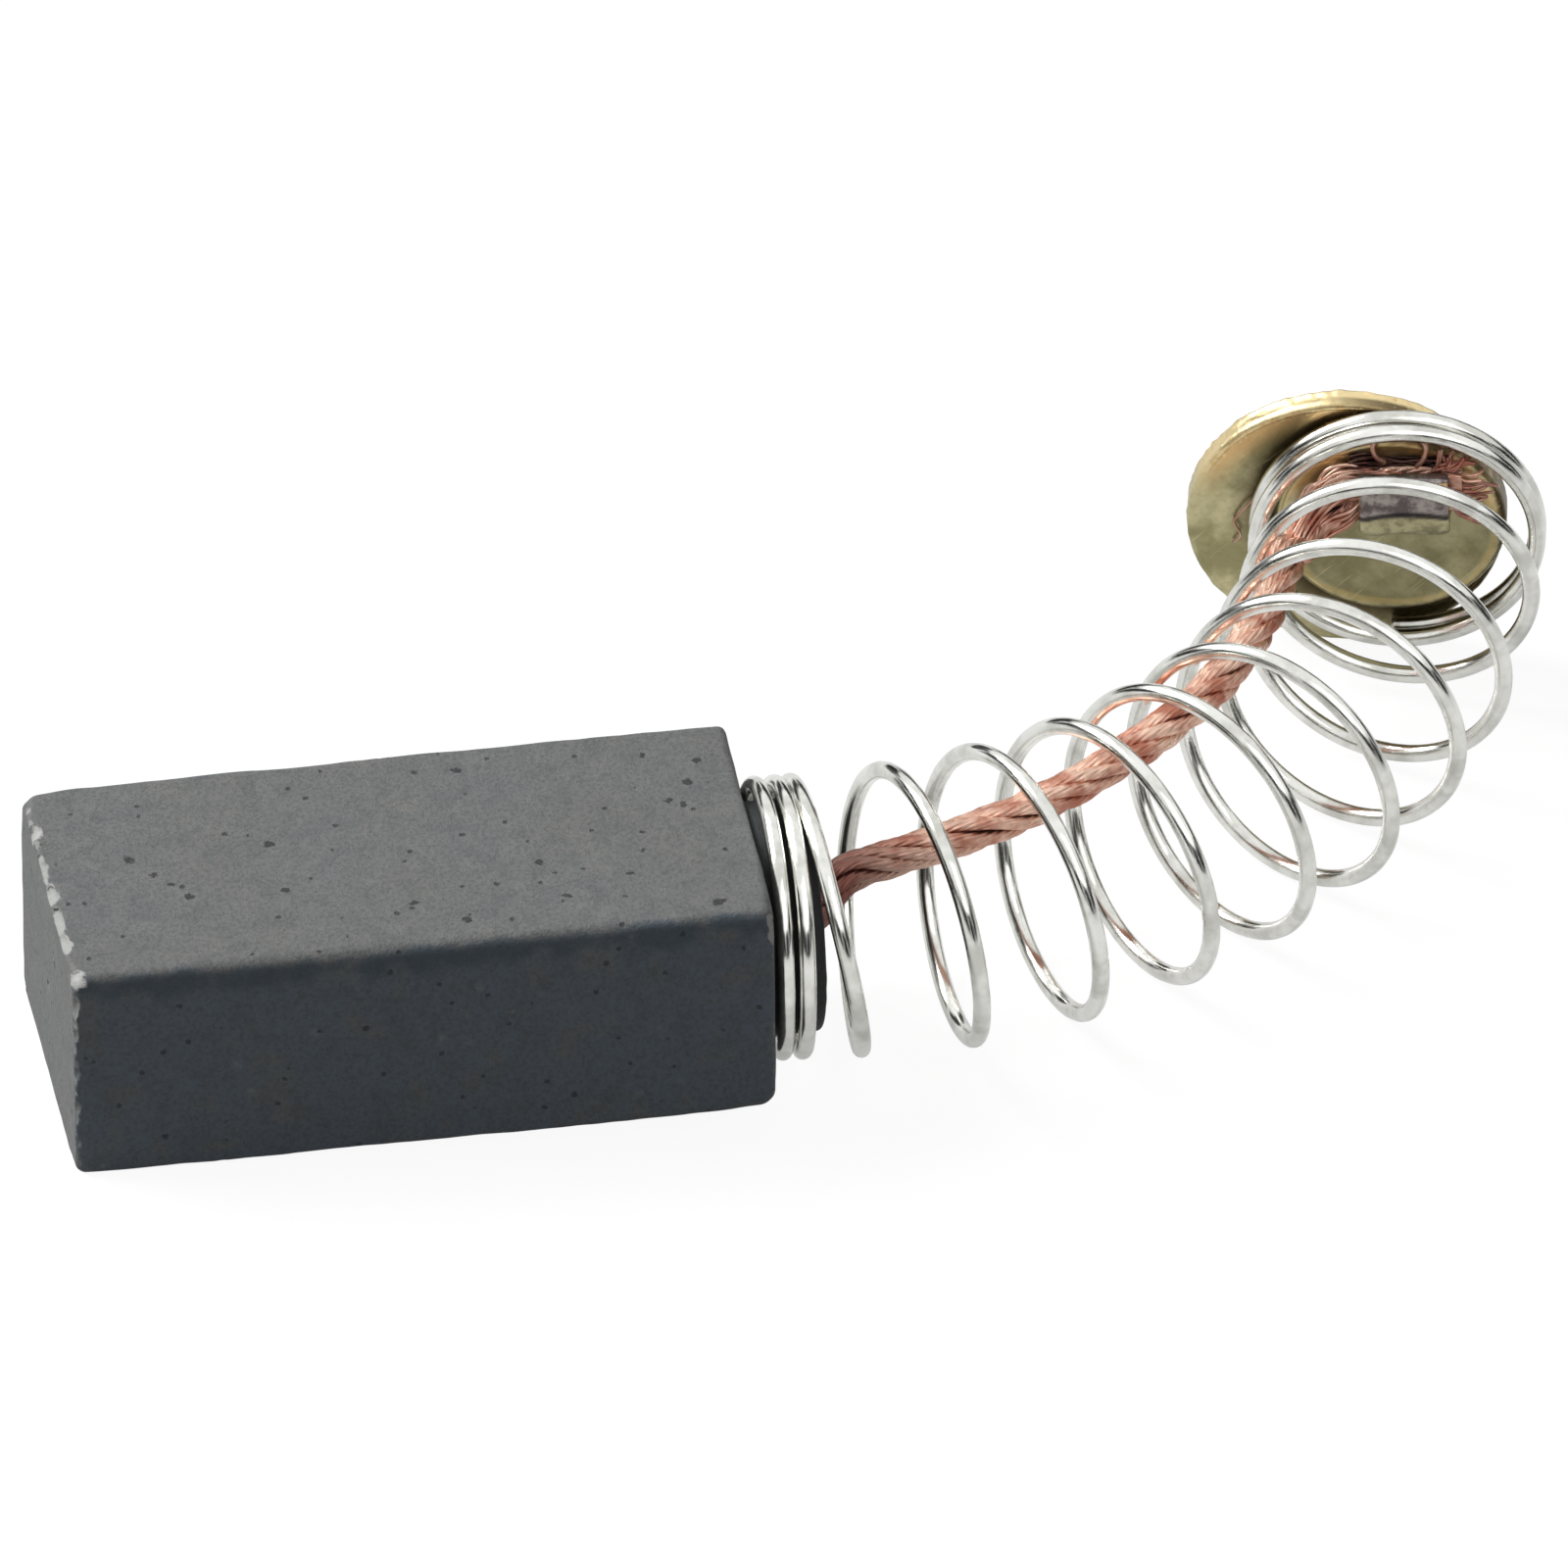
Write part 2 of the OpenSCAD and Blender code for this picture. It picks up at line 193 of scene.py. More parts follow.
# the bar: from the middle of the wearing face, out over its edge, along the sides, in to the boss
end_shares = 1 - stations(2 * z_half, block_step)[::-1] / z_half
end_shares = end_shares[(end_shares > 0.01) & (end_shares < 1)]
shoulder_shares = np.array([0.01, 0.03, 0.05, 0.08, 0.12, 0.2, 0.35, 0.5, 0.65, 0.8, 0.92, 1.0])
bar = np.stack(
    [ring(-block_l, s * outline) for s in end_shares]
    + [ring(x - block_l, outline) for x in stations(block_l, block_step)]
    + [ring(0.0, (1 - s) * outline + s * boss_d / 2 * circle) for s in shoulder_shares])

# each edge is rounded: a point moves to its nearest place on a smaller box, then out by the radius,
# which wanders, is smaller at the wearing end, and is larger along the rubbed upper edge at the
# front and at three knocked corners
smallest_r, sharper, rubbed, rubbed_w, knock_reach = 0.06, 0.08, 0.11, 0.5, 1.3
knocked = [([-block_l, y_half, z_half], 0.3), ([0, -y_half, -z_half], 0.2),
           ([-block_l, -y_half, -z_half], 0.15)]
from_front_edge = np.hypot(bar[..., 1] + y_half, bar[..., 2] - z_half)
radius = edge_r * (0.85 + 0.3 * grain(bar, 1.3, 4)) - sharper * smooth(1 - (bar[..., 0] + block_l))
radius += rubbed * smooth(1.6 - from_front_edge / rubbed_w)
for corner, extra in knocked:
    radius += extra * smooth(1 - np.linalg.norm(bar - corner, axis=-1) / knock_reach)
radius = np.clip(radius, smallest_r, None)[..., None]
middle, half = [-block_l / 2, 0, 0], [block_l / 2, y_half, z_half]
core = np.clip(bar - middle, radius - half, half - radius)
out = bar - middle - core
outward = out / np.linalg.norm(out, axis=-1, keepdims=True)
bar = middle + core + (radius + 0.006 * grain(bar, 0.35, 1)[..., None]) * outward

# chips: each is an oval scoop that pushes the skin in as far as its own wall. Columns: middle x, y,
# z; half sizes x, y, z; how bright the broken face is, lighter fresh graphite and a painted highlight.
# The loops add small ones along the edges.
dice = np.random.default_rng(7)
end, front, top = -block_l, -y_half, z_half
scoops = [
    (end - 0.03, 2.85, top + 0.03, 0.15, 0.18, 0.15, 0.60),
    (end - 0.02, 1.98, top + 0.03, 0.24, 0.28, 0.26, 1.00),
    (end - 0.05, 0.60, top + 0.04, 0.18, 0.55, 0.18, 0.75),
    (end - 0.03, -0.30, top + 0.03, 0.21, 0.42, 0.20, 0.80),
    (end - 0.04, -1.30, top + 0.03, 0.19, 0.55, 0.20, 0.75),
    (end - 0.02, -2.10, top + 0.03, 0.20, 0.45, 0.20, 0.85),
    (end - 0.04, front - 0.03, top + 0.04, 0.34, 0.40, 0.38, 1.00),
    (end - 0.05, front - 0.03, top - 0.72, 0.18, 0.18, 0.40, 0.70),
    (end - 0.10, -front + 0.10, -top - 0.12, 0.42, 0.34, 0.50, 0.25),
    (0.05, front - 0.02, top - 0.38, 0.22, 0.18, 0.55, 0.90),
    (0.05, front, -0.40, 0.12, 0.12, 0.55, 0.40),
]
for y in np.arange(-3.3, 3.4, 0.42):  # upper edge of the wearing end
    a, b, c, d, e = dice.uniform(size=5)
    scoops.append((end - 0.06 * a, y + 0.2 * b, top + 0.05, 0.08 + 0.05 * c, 0.1 + 0.14 * d,
                   0.08 + 0.05 * e, 0.5 + 0.4 * a))
for z in np.arange(-2.4, 2.0, 0.3):  # upright edge of the wearing end, at the front
    a, b, c, d, e = dice.uniform(size=5)
    scoops.append((end - 0.05 * a, front - 0.03, z + 0.2 * b, 0.08 + 0.08 * c, 0.1 + 0.06 * d,
                   0.08 + 0.16 * e, 0.25 + 0.5 * a))
for x in np.arange(end + 0.6, -0.4, 0.6):  # upper edge along the front
    a, b, c, d, e = dice.uniform(size=5)
    scoops.append((x + 0.4 * b, front - 0.05, top + 0.05, 0.1 + 0.25 * c, 0.1 + 0.07 * d,
                   0.1 + 0.06 * e, 0.0))
for side, level in ((1, 1), (1, -1), (-1, -1)):  # the three other long edges
    for x in np.arange(end + 0.8, -0.4, 1.3):
        a, b, c, d, e = dice.uniform(size=5)
        scoops.append((x + 1.1 * b, side * (y_half + 0.05), level * (z_half + 0.05), 0.1 + 0.3 * c,
                       0.1 + 0.06 * d, 0.1 + 0.06 * e, 0.2 * a))
for side in (1, -1):  # upright edges at the shoulder
    for z in np.arange(-2.3, 2.3, 0.6):
        a, b, c, d, e = dice.uniform(size=5)
        scoops.append((0.05, side * (y_half + 0.05), z + 0.4 * b, 0.1 + 0.05 * c, 0.1 + 0.05 * d,
                       0.1 + 0.2 * e, 0.5 * a))
chipped = np.zeros(bar.shape[:2])
for *at, sx, sy, sz, bright in scoops:
    size = [sx, sy, sz] * (1 + 0.25 * grain(bar, 0.17, 9))[..., None]
    reach = np.linalg.norm((bar - at) / size, axis=-1)
    share = np.where(reach < 1, 1 / np.maximum(reach, 0.3) - 1, 0)
    bar += share[..., None] * (bar - at)
    chipped = np.maximum(chipped, np.where(reach < 1, bright, 0))

# the larger open pores on the top (place along and across, radius), and light specks on the front
pores = [(-13.0, 0.6, 0.09), (-12.6, 0.0, 0.07), (-12.3, -0.4, 0.07), (-12.0, -0.9, 0.08),
         (-10.1, 0.7, 0.10), (-10.0, -1.0, 0.08), (-7.4, -1.9, 0.08), (-6.4, -2.7, 0.09),
         (-5.8, 2.7, 0.09), (-4.6, -0.9, 0.09), (-4.2, -2.2, 0.07), (-2.8, -1.6, 0.08),
         (-2.4, -0.8, 0.07), (-1.6, 0.9, 0.08), (-1.3, 0.7, 0.08), (-1.1, 1.5, 0.10),
         (-1.1, -2.9, 0.11), (-14.9, 1.45, 0.12), (-1.9, 2.6, 0.07), (-0.8, 2.2, 0.08)]
skin_depth, speck_count, speck_reach_z = 0.12, 14, 2.4
# the pores' mark paints them dark, as the shade in their hollows
pitted = np.zeros(bar.shape[:2])
on_top, on_front = bar[..., 2] > z_half - skin_depth, bar[..., 1] < -y_half + skin_depth
ragged = 1 + 0.4 * grain(bar, 0.12, 5)
for x, y, r in pores:
    reach = np.hypot(bar[..., 0] - x, bar[..., 1] - y) * ragged / r
    pitted = np.maximum(pitted, on_top * np.clip(1.5 - 0.6 * reach, 0, 1))
for n in range(speck_count):
    a, b, c = dice.uniform(size=3)
    away = np.hypot(bar[..., 0] + block_l * a, bar[..., 2] - speck_reach_z * (2 * b - 1))
    reach = away * ragged / (0.05 + 0.04 * c)
    chipped = np.maximum(chipped, 0.2 * on_front * smooth(1.5 - reach))

# the sides are painted bluish and a little darker, as the shade that falls on them, and below the top
# edge darker in a ragged band; the top and the ends are ground
wander = 0.6 * grain(bar, 0.5, 14) + 0.4 * grain(bar, 0.17, 15)
pressed = smooth((np.abs(bar[..., 1]) - y_half + 0.14 + 0.14 * wander) / 0.16)
banded = pressed * smooth((bar[..., 2] - z_half + 0.80 + 0.35 * wander) / 0.5)

# the bar came out a little over its nominal size, most of all at the far side of the wearing end
oversize, far_oversize, far_from = [0.18, 0.10, 0.12], 0.12, 8
swell = np.concatenate([np.ones(len(bar) - len(shoulder_shares)), 1 - shoulder_shares])[:, None, None]
over = (bar / [block_l, block_w, block_h] + [0, 0.5, 0.5]) * oversize
to_end = smooth((-bar[..., 0] - far_from) / (block_l - far_from))
over[..., 0] -= far_oversize * (bar[..., 1] / block_w + 0.5) * to_end
bar += swell * over

# the boss, its face, and the hole with its drill point, as rows of radius and place
boss_r, hole_r, drill_point = boss_d / 2, hole_d / 2, math.radians(118)
corner_turns = np.linspace(0, math.pi / 2, 6)
boss_rows = [(boss_r, x) for x in (0.1, 0.25, 0.5, 0.75, 0.95, 1.1)]
boss_rows += [(boss_r - boss_edge_r * (1 - math.cos(t)), boss_l - boss_edge_r * (1 - math.sin(t)))
              for t in corner_turns]
boss_rows += [(r, boss_l) for r in (2.1, 1.8, 1.5, 1.2, 1.0)]
boss_rows += [(hole_r + 0.06, boss_l - 0.01), (hole_r + 0.015, boss_l - 0.05), (hole_r, boss_l - 0.12)]
boss_rows += [(hole_r, boss_l - d) for d in np.linspace(0.3, hole_depth, 12)]
tip = hole_r / math.tan(drill_point / 2)
boss_rows += [(hole_r * s, boss_l - hole_depth - tip * (1 - s)) for s in (0.66, 0.33)]
boss = np.stack([ring(x, r * circle) for r, x in boss_rows])
boss += 0.008 * grain(boss, 0.3, 2)[..., None] * [1, 0, 0]
rings = np.concatenate([bar, boss])


def on_block(points):
    """From the block's own axes to the bench."""
    return ([0, 0, axis_z] + points[..., :1] * along_block
            + points[..., 1:2] * [0, 1, 0] + points[..., 2:] * up_block)


block_points, block_faces = closed_skin(on_block(rings), *(
    on_block(np.array([x, 0, 0.0])) for x in (-block_l, boss_l - hole_depth - tip)))
beyond_bar = boss.shape[0] * boss.shape[1] + 2
# the mark on the boss paints it near black, as the shade between the spring's turns
block_marks = {key: np.concatenate([on_bar.ravel(), np.full(beyond_bar, on_boss)])
               for key, on_bar, on_boss in (
    ("chipped", chipped, 0), ("pitted", pitted, 0), ("pressed", pressed, 0), ("banded", banded, 0),
    ("turned", np.broadcast_to(1 - swell[..., 0], bar.shape[:2]), 1))}

# pressed carbon-graphite: matt charcoal, faintly mottled, with open pores up to 0.2 mm across, painted
# dark as the shade in them; where it is chipped the fresh graphite is much lighter and carries a
# painted highlight, and the boss is painted near black as the shade between the spring's turns. The
# sides carry a painted bluish shade. Its grain of about 0.05 mm is drawn twice as coarse, so that it shows.
colours = {"data_type": "RGBA"}
even, eased = ({"interpolation_type": word} for word in ("LINEAR", "SMOOTHSTEP"))
plus, times, times_plus, larger = ({"operation": word}
                                   for word in ("ADD", "MULTIPLY", "MULTIPLY_ADD", "MAXIMUM"))


def layered(tree, colour, *layers):
    """Lays tints over a hex colour. Each layer has a pattern, how its tint comes in (evenly or
    eased) and between which values of the pattern, how much it covers at most, and the tint."""
    colour = linear(colour)
    for pattern, how, low, high, most, tint in layers:
        share = add(tree, "MapRange", how, Value=pattern, i1=low, i2=high, i4=most)
        colour = add(tree, "Mix", colours, 2, i0=share, i6=colour, i7=linear(tint))
    return colour


carbon, tree, place = new_material("carbon_graphite_pressed")
chip, pore, die_face, band, boss_skin = (add(tree, "Attribute", {"attribute_name": key}, "Fac")
                                        for key in ("chipped", "pitted", "pressed", "banded", "turned"))
cloud = add(tree, "TexNoise", Vector=place, Scale=1000 / 3.0, Detail=2.0)
blotch = add(tree, "TexNoise", Vector=place, Scale=1000 / 0.55, Detail=4.0, Roughness=0.65)
tan = add(tree, "TexNoise", Vector=place, Scale=1000 / 0.85, Detail=4.0, Roughness=0.7)
sandy = add(tree, "TexNoise", Vector=place, Scale=1000 / 0.10, Detail=3.0, Roughness=0.75)
warp = add(tree, "TexNoise", give=1, Vector=place, Scale=1000 / 0.15)
bent_place = add(tree, "VectorMath", times_plus, i0=warp, i1=(0.12 / 1000,) * 3, i2=place)
nearest = add(tree, "TexVoronoi", Vector=bent_place, Scale=1000 / 0.62)
small = add(tree, "MapRange", eased, Value=nearest, i1=0.07, i2=0.13, i3=0.75, i4=0.0)
broken = add(tree, "Math", times_plus, i0=sandy, i1=1.1, i2=pore)
large = add(tree, "MapRange", eased, Value=broken, i1=1.28, i2=1.42, i4=0.85)
pits = add(tree, "Math", larger, i0=small, i1=large)
fresh = add(tree, "MapRange", eased, Value=blotch, i1=0.3, i2=0.55, i3=0.7)
fresh = add(tree, "Math", times, i0=chip, i1=fresh)
skin = layered(tree, "#707272",
               (cloud, eased, 0.3, 0.7, 1, "#70706F"), (tan, eased, 0.48, 0.64, 0.35, "#7F7E7A"),
               (die_face, even, 0, 1, 1, "#66707A"), (blotch, eased, 0.46, 0.64, 0.4, "#5B5F60"),
               (sandy, eased, 0.42, 0.66, 0.5, "#4B4E4F"), (band, even, 0, 1, 0.65, "#3B474E"),
               (boss_skin, even, 0, 1, 0.85, "#1E2022"), (pits, even, 0, 1, 1, "#232527"),
               (fresh, even, 0, 1, 1, "#B4B5B2"))
relief = add(tree, "Math", times_plus, i0=pits, i1=-1.2, i2=sandy)
bump = add(tree, "Bump", Strength=0.6, Distance=0.00005, Height=relief)
shader = add(tree, "BsdfPrincipled", Base_Color=skin, Roughness=0.62, Specular_IOR_Level=0.3, Normal=bump)
add(tree, "OutputMaterial", Surface=shader)

block = new_piece("carbon_block_chipped", block_points, block_faces, carbon, "carbon", **block_marks)
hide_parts("carbon_block")

# ---- Tamped powder ----
# Copper powder tamped round the end of the lead in the block's hole. It holds the lead and carries
# the current into the carbon. Only its ring-shaped top shows, at the boss's end.

# tamped copper powder: dull, and dark between its grains, which are drawn a little coarser than real
powder, tree, place = new_material("copper_powder_tamped")
grit = add(tree, "TexNoise", Vector=place, Scale=1000 / 0.08, Detail=3.0, Roughness=0.7)
grains = layered(tree, "#4A2A20", (grit, eased, 0.3, 0.7, 1, "#8A5038"))
bump = add(tree, "Bump", Strength=0.7, Distance=0.00005, Height=grit)
shader = add(tree, "BsdfPrincipled", Base_Color=grains, Metallic=0.35, Roughness=0.6, Normal=bump)
add(tree, "OutputMaterial", Surface=shader)
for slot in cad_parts["tamping_plug"].material_slots:
    slot.material = powder

# ---- Spring ----
# Bright drawn steel wire, 0.38 mm thick, wound in one length: 2.4 tight turns that grip the boss,
# 8.8 open turns and 1.6 tight turns at the cap. At rest it has fallen over to one side, so its axis
# bends through 80 degrees. Its two ends are sheared off square.
wire_d, grip_od = 0.38, 6.1
grip_turns, open_turns, seat_turns = 2.4, 8.8, 1.6
grip_pitch, open_pitch, seat_pitch = 0.44, 2.33, 0.5
start_angle, bend_angle = math.radians(-18), math.radians(80)
straight_block, straight_cap, end_gap, pitch_blend = 1.4, 0.9, 0.02, 0.5
lean_run, level_run, cap_lean = 6.0, 4.0, math.radians(8)
flange_d, flange_edge_r, flange_drop, flange_shift = 6.8, 0.12, 0.28, 1.1
cap_axis_z = ((flange_drop + flange_d / 2 - flange_edge_r) * math.cos(cap_lean)
              - flange_edge_r * math.sin(cap_lean) + flange_edge_r)

rings_per_turn, wire_sides = 96, 16
turns = grip_turns + open_turns + seat_turns
count = round(turns * rings_per_turn)
t = np.linspace(0, turns, count + 1)


def pitch_at(t):
    """Rise of the wire in one turn, which changes smoothly from tight to open and back."""
    opening = smooth((t - grip_turns + pitch_blend) / (2 * pitch_blend))
    closing = smooth((t - grip_turns - open_turns + pitch_blend) / (2 * pitch_blend))
    tight = np.where(t < turns / 2, grip_pitch, seat_pitch)
    return tight + (open_pitch - tight) * opening * (1 - closing)


wire_s = wire_d / 2 + end_gap + np.concatenate(
    [[0], np.cumsum(pitch_at((t[:-1] + t[1:]) / 2) * np.diff(t))])
axis_l = wire_s[-1] + wire_d / 2 + end_gap
bend_r = (axis_l - straight_block - straight_cap) / bend_angle


def axis_frame(s):
    """Middle of the spring at a distance along it, with the directions along it, to the inside of
    its bend and up: straight, then round an arc, then straight."""
    s = np.asarray(s, float)
    b = np.clip((s - straight_block) / bend_r, 0, bend_angle)
    before, after = np.minimum(s, straight_block), np.maximum(0, s - axis_l + straight_cap)
    centre = rows_of(before + bend_r * np.sin(b) + after * np.cos(b),
                     bend_r * (1 - np.cos(b)) + after * np.sin(b),
                     axis_z + (cap_axis_z - axis_z) * (np.maximum(s, 0) / axis_l) ** 3)
    lean = lift * (1 - smooth(s / level_run)) + cap_lean * smooth((s - axis_l + lean_run) / lean_run)
    forward = rows_of(np.cos(b) * np.cos(lean), np.sin(b) * np.cos(lean), np.sin(lean))
    inward = rows_of(-np.sin(b), np.cos(b), 0)
    return centre, forward, inward, np.cross(forward, inward)


def unit(v):
    """Vectors of length one."""
    return v / np.linalg.norm(v, axis=-1, keepdims=True)


def tube(path, outward, section):
    """Carries a section along a path. The section is one closed ring of (out, side) offsets, or
    one for each point of the path. Out is square to the path and as near as can be to outward."""
    forward = unit(np.gradient(path, axis=0))
    out = unit(outward - np.sum(outward * forward, -1, keepdims=True) * forward)
    side = np.cross(forward, out)
    section = np.broadcast_to(section, (len(path),) + np.shape(section)[-2:])
    return path[:, None] + section[..., :1] * out[:, None] + section[..., 1:] * side[:, None]


def round_section(r, sides):
    """A circle of points."""
    a = np.linspace(0, 2 * math.pi, sides, endpoint=False)
    return r * rows_of(np.cos(a), np.sin(a))


def lengths(path):
    """Distance along a path at each of its points."""
    return np.concatenate([[0], np.cumsum(np.linalg.norm(np.diff(path, axis=0), axis=1))])


def eased_steps(x, at, by):
    """Goes from each value of by to the next as x goes from each place in at to the next, with
    level ends at each."""
    at, by = np.array(at), np.array(by)
    k = np.clip(np.searchsorted(at, x) - 1, 0, len(at) - 2)
    return by[k] + (by[k + 1] - by[k]) * smooth((x - at[k]) / (at[k + 1] - at[k]))


# wire isn't fed quite true: the open turns, past those that the boss holds and before those that the
# cap holds, stray a few hundredths from the even helix. The tight turns lean on the shoulder and on
# the cap. Settled: at how many turns from the block the wire lies how far past the even helix.
stray = rows_of(t, 0, 0)
held_turns, held_from = 2.2, 11.6
free = smooth(t) * smooth(turns - t) * (0.25 + 0.75 * smooth(t - held_turns) * smooth(held_from - t))
settled = eased_steps(
    t,
    [0.28, 0.62, 1.0, 1.28, 1.62, 2.0, 2.3, 2.66, 3.2, 9.6, 10.3, 10.8, 11.3, 11.8, 12.3, 12.65],
    [0.02, -0.13, 0.0, 0.02, -0.14, -0.04, -0.17, 0.08, 0, 0, 0.24, 0.12, 0.27, 0.06, 0.21, 0])
centre, forward, inward, upward = axis_frame(wire_s + settled + 0.05 * free * grain(stray, 0.37, 11))
angle = start_angle + 2 * math.pi * t
ray = np.cos(angle)[:, None] * inward + np.sin(angle)[:, None] * upward
grip_r, coil_r = (grip_od - wire_d) / 2, (coil_od - wire_d) / 2
helix_r = grip_r + (coil_r - grip_r) * smooth((t - grip_turns + pitch_blend) / 2)
helix_r += 0.02 * free * grain(stray, 0.29, 12)
wire_path = centre + helix_r[:, None] * ray
wire_rings = tube(wire_path, ray, round_section(wire_d / 2, wire_sides))
# the sheared ends: the last ring is a little smaller, so that the cut has a worn edge
for last in (0, -1):
    wire_rings[last] = wire_path[last] + 0.86 * (wire_rings[last] - wire_path[last])
spring_points, spring_faces = closed_skin(wire_rings, wire_path[0], wire_path[-1])


def drawn_lines(path, sides, r, stretch=0.02):
    """Place of each point of a tube for patterns that run along it: round its section, and its
    length shortened, so that noise comes out as long thin lines. In metres, as the materials are."""
    section = np.broadcast_to(round_section(r, sides), (len(path), sides, 2))
    s = np.broadcast_to(lengths(path)[:, None, None] * stretch, (len(path), sides, 1))
    rows = np.concatenate([section, s], -1).reshape(-1, 3)
    return np.concatenate([rows, [[0, 0, 0], [0, 0, s[-1, 0, 0]]]]) / 1000


# bright drawn spring steel: a mirror-like skin with fine lines along the wire from the die, which
# are drawn coarser than real
steel, tree, place = new_material("spring_steel_bright_drawn")
drawn = add(tree, "Attribute", {"attribute_name": "drawn"}, "Vector")
die_lines = add(tree, "TexNoise", Vector=drawn, Scale=1000 / 0.03, Detail=3.0, Roughness=0.7)
tarnish = add(tree, "TexNoise", Vector=place, Scale=1000 / 0.9, Detail=3.0, Roughness=0.6)
bright = layered(tree, "#F0F0EB", (tarnish, eased, 0.35, 0.7, 1, "#CFCFC8"))
polish = add(tree, "MapRange", eased, Value=die_lines, i1=0.3, i2=0.7, i3=0.08, i4=0.18)
bump = add(tree, "Bump", Strength=0.18, Distance=0.00002, Height=die_lines)
shader = add(tree, "BsdfPrincipled", Base_Color=bright, Metallic=1.0, Roughness=polish, Normal=bump)
add(tree, "OutputMaterial", Surface=shader)

spring = new_piece("spring_wire", spring_points, spring_faces, steel, "spring_steel",
                   drawn=drawn_lines(wire_path, wire_sides, wire_d / 2))
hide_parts("spring")

# ---- Copper lead ----
# Bare copper rope, 0.84 mm thick, of seven strands twisted together, each strand a bundle of hair-
# fine wires. One end is tamped into the block, and it hangs inside the spring, near the inside of
# its bend. The other end is spread and pressed flat under the cap's tongue, with its wires frayed.
strand_d, lay_length = 0.28, 6.0
rope_d = 3 * strand_d
tamping_recess, lead_depth, lead_gap, turn_run = 0.25, 4.0, 0.03, 2.6
seat_h, pressed_w, pressed_t, spread_w = 0.5, 1.15, 0.45, 1.6
tongue_w, tongue_x, tongue_y, tongue_turn = 1.9, 0.1, 1.45, math.radians(4)
pressed_z = seat_h + lead_gap + pressed_t / 2
end_l = 1.25

cap_seat = axis_frame(axis_l)[0]
cap_x = np.array([math.sin(bend_angle), -math.cos(bend_angle), 0])
cap_z = -np.array([math.cos(bend_angle) * math.cos(cap_lean), math.sin(bend_angle) * math.cos(cap_lean),
                   math.sin(cap_lean)])
cap_y = np.cross(cap_z, cap_x)
tail_dir = math.cos(tongue_turn) * cap_x + math.sin(tongue_turn) * cap_y
tail_up = np.cross(cap_z, tail_dir)


def on_cap(points):
    """From the cap's own axes (away from the inside of the bend, up, towards the spring) to the bench."""
    points = np.asarray(points, float)
    return cap_seat + points[..., :1] * cap_x + points[..., 1:2] * cap_y + points[..., 2:] * cap_z


def under_tongue(points):
    """The same for points along the tongue's tunnel, across it and above the seat's plane."""
    points = np.asarray(points, float)
    return (on_cap([tongue_x, tongue_y, 0]) + points[..., :1] * tail_dir + points[..., 1:2] * tail_up
            + points[..., 2:] * cap_z)


# the rope's knots, from the block to the cap. Hanging: share of the way along the spring, then how
# far inward of its axis and up. At the tongue: place along its tunnel, across it and above the
# seat, then width and thickness.
in_block = np.array([boss_l - lead_depth, boss_l - lead_depth / 2, boss_l - tamping_recess, boss_l])
in_block = [0, 0, axis_z] + in_block[:, None] * along_block
hanging = np.array([
    [0.015, 0.28, 0.17], [0.05, 0.8, 0.5], [0.11, 1.1, 0.5], [0.2, 1.45, 0.5], [0.31, 1.75, 0.5],
    [0.42, 1.95, 0.55], [0.54, 2.05, 0.65], [0.68, 2.1, 0.7], [0.81, 2.22, 0.68],
    [0.91, 2.27, 0.6], [1, 2.28, 0.52]])
centre, _, inward, _ = axis_frame(boss_l + 0.05 + hanging[:, 0] * (axis_l - turn_run - boss_l))
hanging = centre + hanging[:, 1:2] * inward + hanging[:, 2:] * [0, 0, 1]
at_tongue = np.array([
    [-2.30, -0.82, pressed_z + 0.95, rope_d * 1.15, rope_d * 0.95],
    [-2.02, -0.60, pressed_z + 0.40, (rope_d + spread_w) / 2, rope_d * 0.85],
    [-tongue_w / 2 - 0.62, -0.28, pressed_z + 0.13, spread_w, pressed_t * 1.3],
    [-tongue_w / 2 - 0.12, -0.01, pressed_z, pressed_w, pressed_t],
    [0, 0, pressed_z, pressed_w, pressed_t],
    [tongue_w / 2, 0, pressed_z, pressed_w, pressed_t],
    [end_l, 0, pressed_z, pressed_w * 1.05, pressed_t * 0.85]])
round_part = np.concatenate([in_block, hanging])
knots = np.concatenate([
    np.column_stack([round_part, np.full((len(round_part), 2), rope_d)]),
    np.column_stack([under_tongue(at_tongue[:, :3]), at_tongue[:, 3:]])])


def through(knots, steps):
    """A smooth curve through knots: the cubic whose slope at each is half the step between its
    neighbours."""
    knots = np.asarray(knots, float)
    padded = np.concatenate([knots[:1], knots, knots[-1:]])
    a, b, c, d = (padded[i:len(padded) - 3 + i, None] for i in range(4))
    u = np.linspace(0, 1, steps, endpoint=False)[:, None]
    rows = 0.5 * (2 * b + (c - a) * u + (2 * a - 5 * b + 4 * c - d) * u ** 2
                  + (3 * b - a - 3 * c + d) * u ** 3)
    return np.concatenate([rows.reshape(-1, knots.shape[1]), knots[-1:]])


rope_rows = through(knots, 14)
rope_path, wide, thick = rope_rows[:, :3], rope_rows[:, 3:4] / rope_d, rope_rows[:, 4:] / rope_d
rope_run = lengths(rope_path)
forward = unit(np.gradient(rope_path, axis=0))
rope_w = unit(tail_up - np.sum(tail_up * forward, -1, keepdims=True) * forward)
rope_n = np.cross(forward, rope_w)

# each strand's section is a ring of wires, drawn fewer and coarser than real, so that they show; its
# wires turn faster than the strands do
strands, wires_round, points_per_wire, wire_lay = 7, 9, 4, 2.2
strand_sides = wires_round * points_per_wire


